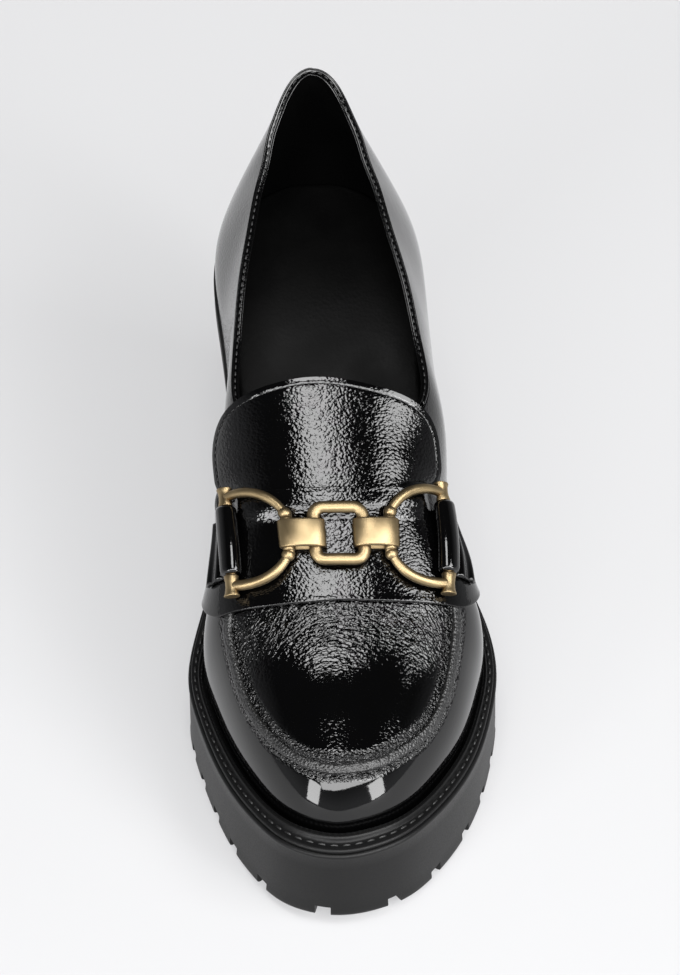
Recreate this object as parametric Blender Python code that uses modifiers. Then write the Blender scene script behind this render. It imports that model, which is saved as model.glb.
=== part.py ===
"""Heeled platform loafer pump, left shoe, with a snaffle-bit ornament on its saddle strap.

Tables and sizes are in millimetres. "along" runs from the tip of the sole at the toe back to the
heel, x is positive on the outer (lateral) side and z is the height over the floor. In the finished
part the toe points to -Y and the origin is under the middle of the shoe, on the floor.
"""
import math
from collections import namedtuple

import bmesh
import bpy
import numpy as np
from mathutils import Matrix, Vector

MM = 0.001
GAP = 0.3
JOIN_GRID = 0.15
JOIN_RING = 0.02

# Leather thicknesses
UPPER_WALL = 1.8
TONGUE_THICKNESS = 1.5
SADDLE_THICKNESS = 1.4
INSOLE_THICKNESS = 2.5
INSOLE_EDGE_ROUND = 0.8
BINDING_RADIUS = 1.1
BINDING_START = 134.0

# Last: the ridge of the instep runs from the toe pole to the heel pole
TOE_POLE = 62.0
HEEL_POLE = 205.0
POLE_BLEND = 8.0
THROAT = 112.0
THROAT_RIBS = (112.0, 113.0, 114.5, 117.0)
THROAT_CLEAR = 2.0

# Apron seam, a raised ridge round the vamp plug
SEAM_HALF_WIDTH = 1.6
SEAM_HEIGHT = 1.2
SEAM_FADE = (70.0, 80.0)
PLAIN_ROW_SHARE = 0.55
PLAIN_ROW_HALF = 0.12

# Sole unit
SOLE_EDGE_ROUND = 1.0
SOLE_EDGE_BEVEL = 0.3
TOE_SPRING = 4.5
BALL_FRONT = 38.0
BALL_BACK = 104.0
WAIST_START = 148.0
WAIST_THICKNESS = 8.0
LUG_DEPTH = 4.0
LUG_NOTCH_WIDTH = 5.2
LUG_NOTCH_INWARD = 12.0
LUG_NOTCH_OUTWARD = 4.0
LUG_NOTCH_ARCS = (-108.0, -93.0, -80.0, -65.0, -50.0, -31.0, -6.0,
                  18.5, 38.0, 58.0, 75.0, 91.0, 107.0)
WELT_END = 128.0
WELT_INSET = 0.8
WELT_MARGIN = 1.0

# Heel
HEEL_BREAST = 187.0
HEEL_CENTRE = 218.0
HEEL_MARGIN = 0.6
LIFT_HEIGHT = 7.0
LIFT_NOTCH_ARCS = (-44.0, -26.0, -9.0, 9.0, 26.0, 44.0)

# Saddle strap and tongue, laid out over the last: along on the ridge, arc across it
SADDLE_FRONT = 72.0
SADDLE_BACK = 104.0
SADDLE_SKIRT = 5.0
SADDLE_SWEEP = 26.0
SADDLE_SWEEP_ARC = (39.0, 80.0)
SADDLE_TAPER = {1: 0.5, -1: 0.0}
SADDLE_LIFT = 0.8
TONGUE_LIFT = 0.75
TONGUE_FLARE = 3.0
TONGUE_FLARE_START = (104.5, 113.0)
SADDLE_RISE = (94.5, 100.0)
SADDLE_RISE_ARC = (28.0, 32.5)
STRAP_SWEEP = 0.5
STRAP_SWEEP_LIMIT = 25.0

# Snaffle-bit ornament, laid out over the saddle: "across" from its middle, "up" along the slope
BIT_CENTRE = 90.4
BIT_SLOPE = math.radians(30.0)
BIT_HEIGHT = 6.0
BIT_TILT = 0.03
BIT_ACROSS = 1.1
BIT_TURN = 0.02
RING_BAR = 33.0
RING_BAR_RADIUS = 1.6
RING_CAP_UP = 14.9
RING_CAP_RADIUS = 2.1
RING_CAP_LENGTH = 6.6
RING_BAR_END = 3.0
RING_WIRE_RADIUS = 1.6
RING_INNER_BAR = 15.1
RING_INNER_RADIUS = 1.5
RING_INNER_END = 1.5
RING_ARM_BEND = (5.5, 1.5)
RING_ARM_END = 0.5
RING_BALL_UP = 6.7
RING_BALL_RADIUS = 2.0
BAND_CENTRE = 11.1
BAND_HALF_LENGTH = 7.0
BAND_HALF_HEIGHT = 3.4
BAND_HALF_WIDTH = 4.55
BAND_WALL = 1.2
BAND_POWER = 2.6
SQUARE_HALF_ACROSS = 7.6
SQUARE_HALF_UP = 8.75
SQUARE_CORNER = 3.0
SQUARE_WIRE_RADIUS = 1.7
KEEPER_HALF_WIDTH = 11.2
KEEPER_BORE = 1.9
KEEPER_WALL = 1.2
KEEPER_TAIL = 13.0
KEEPER_TAIL_START = 4.5
KEEPER_LIP = (1.0, 0.35)
KEEPER_ROLL_REACH = 3.0
KEEPER_BORE_RUN_OUT = 2.0

OutlineRow = namedtuple("OutlineRow", "along lateral medial")
OUTLINE = [
    OutlineRow(10.0, 0.0, 0.0),
    OutlineRow(11.6, 8.6, 7.0),
    OutlineRow(14.6, 15.6, 12.6),
    OutlineRow(20.0, 22.6, 18.2),
    OutlineRow(33.0, 32.2, 26.0),
    OutlineRow(50.0, 40.6, 33.0),
    OutlineRow(67.0, 45.6, 38.0),
    OutlineRow(85.0, 48.0, 40.6),
    OutlineRow(103.0, 44.6, 36.6),
    OutlineRow(122.0, 39.6, 32.5),
    OutlineRow(140.0, 38.2, 30.4),
    OutlineRow(158.0, 36.4, 29.2),
    OutlineRow(176.0, 35.4, 29.8),
    OutlineRow(194.0, 34.8, 31.6),
    OutlineRow(210.0, 34.0, 33.0),
    OutlineRow(226.0, 31.0, 30.8),
    OutlineRow(238.0, 24.0, 24.0),
    OutlineRow(246.0, 13.5, 13.5),
    OutlineRow(249.0, 0.0, 0.0),
]

# feather: height of the upper's lower edge. wall, shoulder, flare: how steeply a rib of the last
# rises, how far its flat top reaches and how far it bulges over the edge or, below 0, leans in from it.
# welt: sole beyond the edge.
ProfileRow = namedtuple("ProfileRow", "along feather wall shoulder_lateral shoulder_medial flare_lateral "
                                      "flare_medial welt")
PROFILE = [
    ProfileRow(0.0, 33.5, 0.55, 0.62, 0.62, -1.5, -1.5, 9.8),
    ProfileRow(10.0, 32.6, 0.55, 0.62, 0.62, -1.5, -1.5, 9.8),
    ProfileRow(20.0, 31.0, 0.56, 0.65, 0.65, -1.0, -1.0, 7.7),
    ProfileRow(33.0, 29.0, 0.58, 0.72, 0.72, 2.0, 1.0, 6.9),
    ProfileRow(50.0, 27.1, 0.61, 0.8, 0.8, 4.5, 2.0, 6.2),
    ProfileRow(67.0, 26.2, 0.64, 0.86, 0.86, 5.0, 2.5, 5.6),
    ProfileRow(85.0, 26.1, 0.66, 0.88, 0.88, 4.0, 2.5, 5.6),
    ProfileRow(103.0, 27.3, 0.66, 0.9, 0.9, -3.5, 1.5, 6.8),
    ProfileRow(122.0, 32.7, 0.67, 0.95, 0.99, 0.0, 4.5, 5.3),
    ProfileRow(140.0, 42.6, 0.68, 1.05, 1.16, 4.0, 5.2, 2.4),
    ProfileRow(158.0, 54.4, 0.54, 0.82, 1.03, 5.7, 4.7, 1.4),
    ProfileRow(176.0, 65.6, 0.38, 0.45, 0.66, 6.8, 4.7, 1.2),
    ProfileRow(194.0, 75.0, 0.26, 0.08, 0.18, 7.0, 5.4, 1.2),
    ProfileRow(210.0, 81.0, 0.2, -0.05, -0.06, 6.8, 6.6, 1.2),
    ProfileRow(226.0, 84.6, 0.18, -0.04, -0.06, 6.2, 7.0, 1.2),
    ProfileRow(238.0, 86.4, 0.23, 0.19, 0.2, 5.0, 6.2, 1.2),
    ProfileRow(246.0, 87.0, 0.31, 0.57, 0.6, 4.2, 4.8, 1.2),
    ProfileRow(251.0, 87.2, 0.36, 1.15, 1.15, 3.5, 3.5, 1.2),
]

# Apron seam: its place on a rib, as a share of the rib's reach from the ridge
SeamRow = namedtuple("SeamRow", "along lateral medial")
SEAM = [
    SeamRow(10.0, 0.795, 0.795),
    SeamRow(14.0, 0.813, 0.801),
    SeamRow(20.0, 0.83, 0.814),
    SeamRow(33.0, 0.885, 0.856),
    SeamRow(50.0, 0.888, 0.882),
    SeamRow(70.0, 0.854, 0.86),
    SeamRow(80.0, 0.845, 0.853),
]

RidgeRow = namedtuple("RidgeRow", "along x z")
RIDGE = [
    RidgeRow(62.0, 2.0, 70.0),
    RidgeRow(72.0, 2.2, 74.2),
    RidgeRow(88.0, 2.2, 83.0),
    RidgeRow(104.0, 0.8, 92.4),
    RidgeRow(122.0, -1.6, 102.6),
    RidgeRow(138.0, -3.4, 112.0),
    RidgeRow(150.0, -3.0, 121.0),
    RidgeRow(165.0, -2.2, 138.0),
    RidgeRow(180.0, -1.4, 155.0),
    RidgeRow(195.0, -0.6, 165.0),
    RidgeRow(205.0, 0.0, 168.0),
]

ToplineRow = namedtuple("ToplineRow", "along z")
TOPLINE = [
    ToplineRow(112.0, 97.0),
    ToplineRow(125.0, 97.0),
    ToplineRow(140.0, 98.8),
    ToplineRow(155.0, 103.6),
    ToplineRow(172.0, 111.0),
    ToplineRow(190.0, 119.0),
    ToplineRow(205.0, 125.5),
    ToplineRow(227.0, 136.8),
    ToplineRow(252.0, 158.5),
]

TongueRow = namedtuple("TongueRow", "along half_arc")
TONGUE = [
    TongueRow(101.0, 21.0),
    TongueRow(103.5, 24.0),
    TongueRow(105.5, 35.0),
    TongueRow(108.0, 38.5),
    TongueRow(112.0, 39.2),
    TongueRow(117.0, 39.4),
    TongueRow(121.5, 38.8),
    TongueRow(125.5, 36.6),
    TongueRow(128.5, 32.8),
    TongueRow(130.8, 27.4),
    TongueRow(132.8, 20.4),
    TongueRow(134.5, 12.6),
    TongueRow(135.7, 4.0),
    TongueRow(135.9, 1.5),
]

# Section of the welt: outwards as a share of its width, height over the sole
WeltRow = namedtuple("WeltRow", "outward height")
WELT = [
    WeltRow(0.00, 0.0),
    WeltRow(0.00, 2.0),
    WeltRow(0.12, 2.8),
    WeltRow(0.30, 2.8),
    WeltRow(0.42, 2.0),
    WeltRow(0.48, 1.1),
    WeltRow(0.92, 1.4),
    WeltRow(1.00, 0.9),
    WeltRow(1.00, 0.0),
]

HeelRow = namedtuple("HeelRow", "height_share scale")
HEEL = [
    HeelRow(0.0, 0.87),
    HeelRow(0.3, 0.86),
    HeelRow(0.6, 0.89),
    HeelRow(0.85, 0.95),
    HeelRow(1.0, 1.0),
]


def natural_spline(knots, values):
    """Return a smooth curve through the points as a function of an array, level beyond its ends."""
    knots = np.asarray(knots, float)
    values = np.asarray(values, float)
    steps = np.diff(knots)
    slopes = np.diff(values) / steps
    system = np.eye(len(knots))
    right = np.zeros(len(knots))
    for i in range(1, len(knots) - 1):
        system[i, i - 1:i + 2] = steps[i - 1], 2.0 * (steps[i - 1] + steps[i]), steps[i]
        right[i] = 6.0 * (slopes[i] - slopes[i - 1])
    bend = np.linalg.solve(system, right)

    def at(where):
        where = np.clip(where, knots[0], knots[-1])
        i = np.clip(np.searchsorted(knots, where) - 1, 0, len(steps) - 1)
        after = where - knots[i]
        before = knots[i + 1] - where
        step = steps[i]
        cubic = (bend[i] * before ** 3 + bend[i + 1] * after ** 3) / (6.0 * step)
        low = (values[i] / step - bend[i] * step / 6.0) * before
        high = (values[i + 1] / step - bend[i + 1] * step / 6.0) * after
        return cubic + low + high

    return at


def column(table, name):
    return natural_spline([row.along for row in table], [getattr(row, name) for row in table])


feather_z = column(PROFILE, "feather")
rib_wall = column(PROFILE, "wall")
rib_shoulder = {1: column(PROFILE, "shoulder_lateral"), -1: column(PROFILE, "shoulder_medial")}
rib_flare = {1: column(PROFILE, "flare_lateral"), -1: column(PROFILE, "flare_medial")}
welt_width = column(PROFILE, "welt")
seam_reach = {1: column(SEAM, "lateral"), -1: column(SEAM, "medial")}
ridge_x = column(RIDGE, "x")
ridge_z = column(RIDGE, "z")
topline_z = column(TOPLINE, "z")


def smooth_step(low, high, value):
    share = np.clip((value - low) / (high - low), 0.0, 1.0)
    return share * share * (3.0 - 2.0 * share)


def soft_ramp(value):
    return POLE_BLEND * np.logaddexp(0.0, np.asarray(value) / POLE_BLEND)


def rib_root(along):
    """Place on the ridge that a rib starting at this place on the outline runs up to."""
    return TOE_POLE + soft_ramp(along - TOE_POLE) - soft_ramp(along - HEEL_POLE)


def ridge_slope(along):
    reach = 0.5
    low = np.clip(along - reach, TOE_POLE, HEEL_POLE)
    high = np.clip(along + reach, TOE_POLE, HEEL_POLE)
    return (ridge_z(high) - ridge_z(low)) / (high - low)


def closed_outline(count=1440):
    """Points of the feather outline and its outward normals, from the toe round the lateral side."""
    loop = [(row.lateral, row.along) for row in OUTLINE]
    loop += [(-row.medial, row.along) for row in OUTLINE[-2:0:-1]]
    tiled = np.array(loop * 3 + loop[:1])
    chords = np.hypot(*np.diff(tiled, axis=0).T)
    travel = np.concatenate([[0.0], np.cumsum(chords)])
    start = travel[len(loop)]
    end = travel[2 * len(loop)]
    where = np.linspace(start, end, count, endpoint=False)
    points = np.stack([natural_spline(travel, tiled[:, i])(where) for i in (0, 1)], axis=1)
    tangent = np.roll(points, -1, axis=0) - np.roll(points, 1, axis=0)
    tangent /= np.linalg.norm(tangent, axis=1)[:, None]
    normal = np.stack([tangent[:, 1], -tangent[:, 0]], axis=1)
    return points, normal


OUTLINE_POINTS, OUTLINE_NORMALS = closed_outline()


class Outline:
    """The feather outline moved outwards, read by along on its lateral (+1) or medial (-1) side."""

    def __init__(self, offset):
        points = OUTLINE_POINTS + OUTLINE_NORMALS * offset(OUTLINE_POINTS[:, 1])[:, None]
        points = np.roll(points, -int(np.argmin(points[:, 1])), axis=0)
        turn = int(np.argmax(points[:, 1]))
        self.front = points[0, 1]
        self.back = points[turn, 1]
        self.sides = {1: points[:turn + 1], -1: np.concatenate([points[:1], points[:turn - 1:-1]])}

    def x(self, along, side):
        points = self.sides[side]
        return np.interp(along, points[:, 1], points[:, 0])

    def along(self, share):
        return self.front + (self.back - self.front) * share


def even(amount):
    return lambda along: np.full_like(along, amount, dtype=float)


FEATHER = Outline(even(0.0))


def end_dense_shares(count):
    """Shares from 0 to 1 that crowd towards both ends, where an outline turns round."""
    return (1.0 - np.cos(np.linspace(0.0, math.pi, count))) / 2.0


def rib_points(along, side, shares):
    """Points of the last's ribs: a row for each place along the outline, a point for each share."""
    along = np.asarray(along, float)
    root_along = rib_root(along)
    foot = np.stack([FEATHER.x(along, side), along, feather_z(along)], axis=1)
    root = np.stack([ridge_x(root_along), root_along, ridge_z(root_along)], axis=1)
    run = foot[:, :2] - root[:, :2]
    reach = np.linalg.norm(run, axis=1)
    run /= reach[:, None]
    flank = foot.copy()
    flank[:, :2] += run * rib_flare[side](along)[:, None]
    flank[:, 2] += rib_wall(along) * (root[:, 2] - foot[:, 2])
    top_reach = rib_shoulder[side](along) * reach
    crown = root.copy()
    crown[:, :2] += run * top_reach[:, None]
    crown[:, 2] += ridge_slope(root_along) * run[:, 1] * top_reach
    share = np.asarray(shares, float)
    share = np.broadcast_to(share, (len(along), share.shape[-1]))[..., None]
    rest = 1.0 - share
    return (rest ** 3 * foot[:, None] + 3.0 * rest ** 2 * share * flank[:, None]
            + 3.0 * rest * share ** 2 * crown[:, None] + share ** 3 * root[:, None])


FINE_SHARES = np.linspace(0.0, 1.0, 241)


def rim_share(points):
    """Share at which a rib's points cross the topline, or 1 where the upper is closed over the ridge."""
    over = points[:, 2] - topline_z(points[:, 1])
    if points[-1, 1] <= THROAT or over.max() <= 0.0:
        return 1.0
    first = int(np.argmax(over > 0.0))
    return np.interp(0.0, over[first - 1:first + 1], FINE_SHARES[first - 1:first + 1])


def upper_rows(along, side):
    """Shares of the upper's rows on each rib, and how far each row stands up for the apron seam."""
    fine = rib_points(along, side, FINE_SHARES)
    shares = []
    rises = []
    for place, points in zip(along, fine):
        top = rim_share(points)
        spread = np.linalg.norm(points[:, :2] - points[-1, :2], axis=1)
        widest = int(np.argmax(spread))
        seam = np.interp(seam_reach[side](place) * spread[0], spread[:widest:-1], FINE_SHARES[:widest:-1])
        length = np.linalg.norm(np.diff(points, axis=0), axis=1)
        half = SEAM_HALF_WIDTH * (FINE_SHARES[1] / np.interp(seam, FINE_SHARES[1:], length))
        plain = smooth_step(*SEAM_FADE, place)
        seam = seam + (PLAIN_ROW_SHARE * top - seam) * plain
        half = half + (PLAIN_ROW_HALF * top - half) * plain
        low = seam - half
        high = seam + half
        row = [0.0, low / 3.0, low * 2.0 / 3.0, low, seam - half / 2.0, seam + half / 2.0, high]
        row += [high + (top - high) * step / 4.0 for step in (1, 2, 3, 4)]
        shares.append(row)
        rise = SEAM_HEIGHT * (1.0 - plain)
        rises.append([rise if index in (4, 5) else 0.0 for index in range(len(row))])
    return np.array(shares), np.array(rises)


def upper_places():
    """Places of the ribs along the outline, crowded at toe, heel and throat."""
    plain = FEATHER.along(end_dense_shares(39))
    near = (plain > THROAT_RIBS[0] - THROAT_CLEAR) & (plain < THROAT_RIBS[-1] + THROAT_CLEAR)
    return np.sort(np.concatenate([plain[~near], THROAT_RIBS]))


def upper_grid():
    """Grid of the upper's outer face: ribs in a loop round the outline, rows from foot to top edge."""
    places = upper_places()
    sides = []
    for side in (1, -1):
        shares, rises = upper_rows(places, side)
        sides.append((rib_points(places, side, shares), rises))
    points = np.concatenate([sides[0][0], sides[1][0][-2:0:-1]])
    rises = np.concatenate([sides[0][1], sides[1][1][-2:0:-1]])
    around = np.roll(points, -1, axis=0) - np.roll(points, 1, axis=0)
    upward = np.gradient(points, axis=1)
    normal = np.cross(around, upward)
    normal /= np.maximum(np.linalg.norm(normal, axis=2), 1e-9)[..., None]
    return points + normal * rises[..., None]


class LastSheet:
    """The instep of the last unrolled: along on the ridge and arc across it, positive to lateral."""

    def __init__(self):
        self.along = np.arange(66.0, 176.0, 1.0)
        self.arc = np.arange(-92.0, 93.0, 1.0)
        outline = np.linspace(40.0, 190.0, 601)
        feet = np.interp(self.along, rib_root(outline), outline)
        plain = np.empty((len(self.along), len(self.arc), 3))
        self.length = {}
        for side in (1, -1):
            ribs = rib_points(feet, side, FINE_SHARES[::-1])
            travel = np.cumsum(np.linalg.norm(np.diff(ribs, axis=1), axis=2), axis=1)
            travel = np.concatenate([np.zeros((len(feet), 1)), travel], axis=1)
            self.length[side] = travel[:, -1]
            half = self.arc * side >= 0.0
            for i in range(len(feet)):
                for axis in range(3):
                    plain[i, half, axis] = np.interp(self.arc[half] * side, travel[i], ribs[i, :, axis])
        drop = ridge_z(self.along)[:, None] - plain[..., 2]
        swept = STRAP_SWEEP * STRAP_SWEEP_LIMIT * (1.0 - np.exp(-drop / STRAP_SWEEP_LIMIT))
        self.points = np.empty_like(plain)
        for j in range(len(self.arc)):
            for axis in range(3):
                self.points[:, j, axis] = np.interp(self.along + swept[:, j], self.along, plain[:, j, axis])
        normal = np.cross(np.gradient(self.points, axis=1), np.gradient(self.points, axis=0))
        self.normals = normal / np.maximum(np.linalg.norm(normal, axis=2), 1e-9)[..., None]

    def at(self, along, arc, height):
        """Points at a height over the last, for arrays of along, arc and height."""
        along, arc, height = np.broadcast_arrays(along, arc, height)
        row = np.clip(along - self.along[0], 0.0, len(self.along) - 1.001)
        col = np.clip(arc - self.arc[0], 0.0, len(self.arc) - 1.001)
        i = row.astype(int)
        j = col.astype(int)
        u = (row - i)[..., None]
        w = (col - j)[..., None]

        def blend(grid):
            near = grid[i, j] * (1.0 - w) + grid[i, j + 1] * w
            far = grid[i + 1, j] * (1.0 - w) + grid[i + 1, j + 1] * w
            return near * (1.0 - u) + far * u

        return blend(self.points) + blend(self.normals) * height[..., None]

    def side_length(self, along, side):
        return np.interp(along, self.along, self.length[side])


SHEET = LastSheet()


def new_collection(name):
    collection = bpy.data.collections.new(name)
    bpy.context.scene.collection.children.link(collection)
    return collection


def new_material(name, colour, roughness, metallic=0.0):
    material = bpy.data.materials.new(name)
    material.use_nodes = True
    shader = material.node_tree.nodes["Principled BSDF"]
    shader.inputs["Base Color"].default_value = (*colour, 1.0)
    shader.inputs["Roughness"].default_value = roughness
    shader.inputs["Metallic"].default_value = metallic
    return material


class Shop:
    """Collections, materials and the empty that carries every piece."""

    def __init__(self):
        self.parts = new_collection("loafer_pump")
        self.cutters = new_collection("cutters")
        self.leather = new_material("patent_leather", (0.012, 0.012, 0.013), 0.16)
        self.lining = new_material("lining_leather", (0.016, 0.015, 0.015), 0.45)
        self.rubber = new_material("sole_rubber", (0.022, 0.022, 0.023), 0.55)
        self.brass = new_material("antique_brass", (0.60, 0.43, 0.20), 0.28, 1.0)
        self.root = bpy.data.objects.new("loafer_pump_root", None)
        self.parts.objects.link(self.root)

    def add(self, name, mesh, material):
        """Link a mesh as a piece of the shoe, shaded smooth with its sharp edges kept."""
        mesh.materials.clear()
        mesh.materials.append(material)
        mesh.shade_smooth()
        mesh.set_sharp_from_angle(angle=math.radians(40.0))
        piece = bpy.data.objects.new(name, mesh)
        self.parts.objects.link(piece)
        piece.parent = self.root
        return piece

    def add_cutter(self, name, mesh):
        cutter = bpy.data.objects.new(name, mesh)
        cutter.hide_render = True
        cutter.display_type = "WIRE"
        self.cutters.objects.link(cutter)
        cutter.parent = self.root
        return cutter


def to_mesh(bm, name):
    mesh = bpy.data.meshes.new(name)
    bm.to_mesh(mesh)
    bm.free()
    return mesh


def grid_mesh(name, grid, around=False):
    """Open mesh over a grid of points; coincident points are joined."""
    bm = bmesh.new()
    rows, cols = grid.shape[:2]
    verts = [[bm.verts.new(point * MM) for point in row] for row in grid]
    for i in range(rows if around else rows - 1):
        for j in range(cols - 1):
            near = verts[i]
            far = verts[(i + 1) % rows]
            bm.faces.new((near[j], far[j], far[j + 1], near[j + 1]))
    bmesh.ops.remove_doubles(bm, verts=bm.verts, dist=JOIN_GRID * MM)
    return to_mesh(bm, name)


def loft_mesh(name, rings, caps=(True, True)):
    """Closed mesh through rings of points; an end without a cap has to close by itself."""
    bm = bmesh.new()
    loops = [[bm.verts.new(point * MM) for point in ring] for ring in rings]
    count = len(loops[0])
    for near, far in zip(loops, loops[1:]):
        for j in range(count):
            bm.faces.new((near[j], near[(j + 1) % count], far[(j + 1) % count], far[j]))
    for cap, loop in zip(caps, (loops[0], loops[-1])):
        if cap:
            bm.faces.new(loop)
    bmesh.ops.remove_doubles(bm, verts=bm.verts, dist=JOIN_RING * MM)
    bmesh.ops.recalc_face_normals(bm, faces=bm.faces)
    return to_mesh(bm, name)


def add_shell(piece, thickness, offset):
    shell = piece.modifiers.new("wall", "SOLIDIFY")
    shell.thickness = thickness * MM
    shell.offset = offset
    return shell


def add_boolean(piece, helper, operation):
    boolean = piece.modifiers.new(operation.lower(), "BOOLEAN")
    boolean.operation = operation
    boolean.object = helper
    boolean.solver = "EXACT"


def make_upper(shop):
    piece = shop.add("upper", grid_mesh("upper", upper_grid(), around=True), shop.leather)
    add_shell(piece, UPPER_WALL, -1.0)


def sole_bottom(along):
    """Height of the sole's underside: toe spring, flat tread at the ball, then the rising waist."""
    spring = TOE_SPRING * np.clip((BALL_FRONT - along) / BALL_FRONT, 0.0, 1.0) ** 2
    waist = feather_z(along) - GAP - WAIST_THICKNESS
    return spring + waist * smooth_step(BALL_BACK, WAIST_START, along)


def layered_rings(levels, shares):
    """Rings across the shoe at each share of its length; a level is an outline and a height function."""
    rings = []
    for share in shares:
        lateral = []
        medial = []
        for outline, height in levels:
            along = outline.along(share)
            z = float(height(along))
            lateral.append((outline.x(along, 1), along, z))
            medial.append((outline.x(along, -1), along, z))
        rings.append(np.array(lateral + medial[::-1]))
    return rings


def notch_mesh(name, line, tip, arcs, bottom):
    """Blocks across an edge line at arcs from its tip, to cut lug gaps up into a bottom height."""
    travel = np.concatenate([[0.0], np.cumsum(np.linalg.norm(np.diff(line, axis=0), axis=1))])
    travel -= travel[tip]
    bm = bmesh.new()
    for arc in arcs:
        here, ahead = [Vector([np.interp(where, travel, line[:, i]) for i in (0, 1)] + [0.0])
                       for where in (arc, arc + 0.5)]
        tangent = (ahead - here).normalized()
        inward = Vector((-tangent.y, tangent.x, 0.0))
        frame = Matrix((tangent, inward, Vector((0.0, 0.0, 1.0)))).transposed().to_4x4()
        centre = here + inward * (LUG_NOTCH_INWARD - LUG_NOTCH_OUTWARD) / 2.0
        centre.z = float(bottom(here.y))
        size = Matrix.Diagonal((LUG_NOTCH_WIDTH, LUG_NOTCH_INWARD + LUG_NOTCH_OUTWARD, 2.0 * LUG_DEPTH, 1.0))
        place = Matrix.Scale(MM, 4) @ Matrix.Translation(centre) @ frame @ size
        bmesh.ops.create_cube(bm, size=1.0, matrix=place)
    return to_mesh(bm, name)


def make_outsole(shop):
    edge = Outline(welt_width)
    rounded = Outline(lambda along: welt_width(along) - SOLE_EDGE_BEVEL)
    inner = Outline(lambda along: welt_width(along) - SOLE_EDGE_ROUND)
    levels = [
        (inner, lambda along: feather_z(along) - GAP),
        (rounded, lambda along: feather_z(along) - GAP - SOLE_EDGE_BEVEL),
        (edge, lambda along: feather_z(along) - GAP - SOLE_EDGE_ROUND),
        (edge, lambda along: sole_bottom(along) + SOLE_EDGE_ROUND),
        (inner, sole_bottom),
    ]
    rings = layered_rings(levels, end_dense_shares(49))
    piece = shop.add("outsole", loft_mesh("outsole", rings, caps=(False, False)), shop.rubber)
    line = np.concatenate([edge.sides[-1][::-1], edge.sides[1][1:]])
    tip = len(edge.sides[-1]) - 1
    notches = notch_mesh("outsole_notches", line, tip, LUG_NOTCH_ARCS, sole_bottom)
    add_boolean(piece, shop.add_cutter("outsole_notches", notches), "DIFFERENCE")


def make_insole(shop):
    edge = Outline(even(-UPPER_WALL - 2.0 * GAP))
    crown = Outline(even(-UPPER_WALL - 2.0 * GAP - INSOLE_EDGE_ROUND))
    levels = [
        (crown, lambda along: feather_z(along) + INSOLE_THICKNESS),
        (edge, lambda along: feather_z(along) + INSOLE_THICKNESS - INSOLE_EDGE_ROUND),
        (edge, feather_z),
    ]
    rings = layered_rings(levels, end_dense_shares(35))
    shop.add("insole", loft_mesh("insole", rings, caps=(False, False)), shop.lining)


def make_welt(shop):
    """Ribbed strip on the sole's edge, from the lateral waist round the toe to the medial waist."""
    front = FEATHER.along(end_dense_shares(53))
    front = np.append(front[front < WELT_END], WELT_END)
    places = [(along, 1) for along in front[::-1]]
    places += [(along, -1) for along in front[1:]]
    rings = []
    for along, side in places:
        point = np.array([FEATHER.x(along, side), along])
        nearest = int(np.argmin(np.linalg.norm(OUTLINE_POINTS - point, axis=1)))
        normal = OUTLINE_NORMALS[nearest]
        width = welt_width(along) - WELT_MARGIN - WELT_INSET
        ring = []
        for row in WELT:
            x, y = point + normal * (WELT_INSET + row.outward * width)
            ring.append((x, y, float(feather_z(y)) + row.height))
        rings.append(np.array(ring))
    shop.add("welt", loft_mesh("welt", rings), shop.rubber)


def heel_rings(levels):
    """Rings of the heel from breast to back; a level is a scale about the heel's middle and a height."""
    outline = Outline(even(HEEL_MARGIN))
    rings = []
    for share in np.sin(np.linspace(0.0, math.pi / 2.0, 17)):
        along = HEEL_BREAST + (outline.back - HEEL_BREAST) * share
        sides = {1: [], -1: []}
        for scale, height in levels:
            for side in (1, -1):
                x = outline.x(along, side) * scale
                sides[side].append((x, HEEL_CENTRE + (along - HEEL_CENTRE) * scale, float(height(along))))
        rings.append(np.array(sides[1] + sides[-1][::-1]))
    return rings


def make_heel(shop):
    foot = LIFT_HEIGHT + GAP

    def level(row):
        def height(along):
            return foot + (sole_bottom(along) - GAP - foot) * row.height_share
        return row.scale, height

    rings = heel_rings([level(row) for row in HEEL])
    shop.add("heel", loft_mesh("heel", rings, caps=(True, False)), shop.leather)


def make_heel_lift(shop):
    scale = HEEL[0].scale
    rings = heel_rings([(scale, even(LIFT_HEIGHT)), (scale, even(0.0))])
    piece = shop.add("heel_lift", loft_mesh("heel_lift", rings, caps=(True, False)), shop.rubber)
    outline = Outline(even(HEEL_MARGIN))
    line = np.concatenate([outline.sides[1], outline.sides[-1][-2::-1]])
    centre = np.array([0.0, HEEL_CENTRE])
    tip = len(outline.sides[1]) - 1
    line = centre + (line - centre) * scale
    notches = notch_mesh("lift_notches", line, tip, LIFT_NOTCH_ARCS, even(0.0))
    add_boolean(piece, shop.add_cutter("lift_notches", notches), "DIFFERENCE")


def make_tongue(shop):
    half_arc = column(TONGUE, "half_arc")
    places = np.array([row.along for row in TONGUE])
    shares = np.linspace(-1.0, 1.0, 21)
    arcs = half_arc(places)[:, None] * shares[None, :]
    widest = max(row.half_arc for row in TONGUE)
    spring = TONGUE_FLARE * smooth_step(*TONGUE_FLARE_START, places)[:, None] * np.abs(arcs / widest) ** 3
    grid = SHEET.at(places[:, None], arcs, TONGUE_LIFT + spring)
    piece = shop.add("tongue", grid_mesh("tongue", grid[:, ::-1]), shop.leather)
    add_shell(piece, TONGUE_THICKNESS, 1.0)


def saddle_underside(along, arc):
    """Height of the saddle over the last: it climbs over the front end of the tongue."""
    rise = smooth_step(*SADDLE_RISE, along) * (1.0 - smooth_step(*SADDLE_RISE_ARC, np.abs(arc)))
    return SADDLE_LIFT + (TONGUE_LIFT + TONGUE_THICKNESS + GAP - SADDLE_LIFT) * rise


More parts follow.
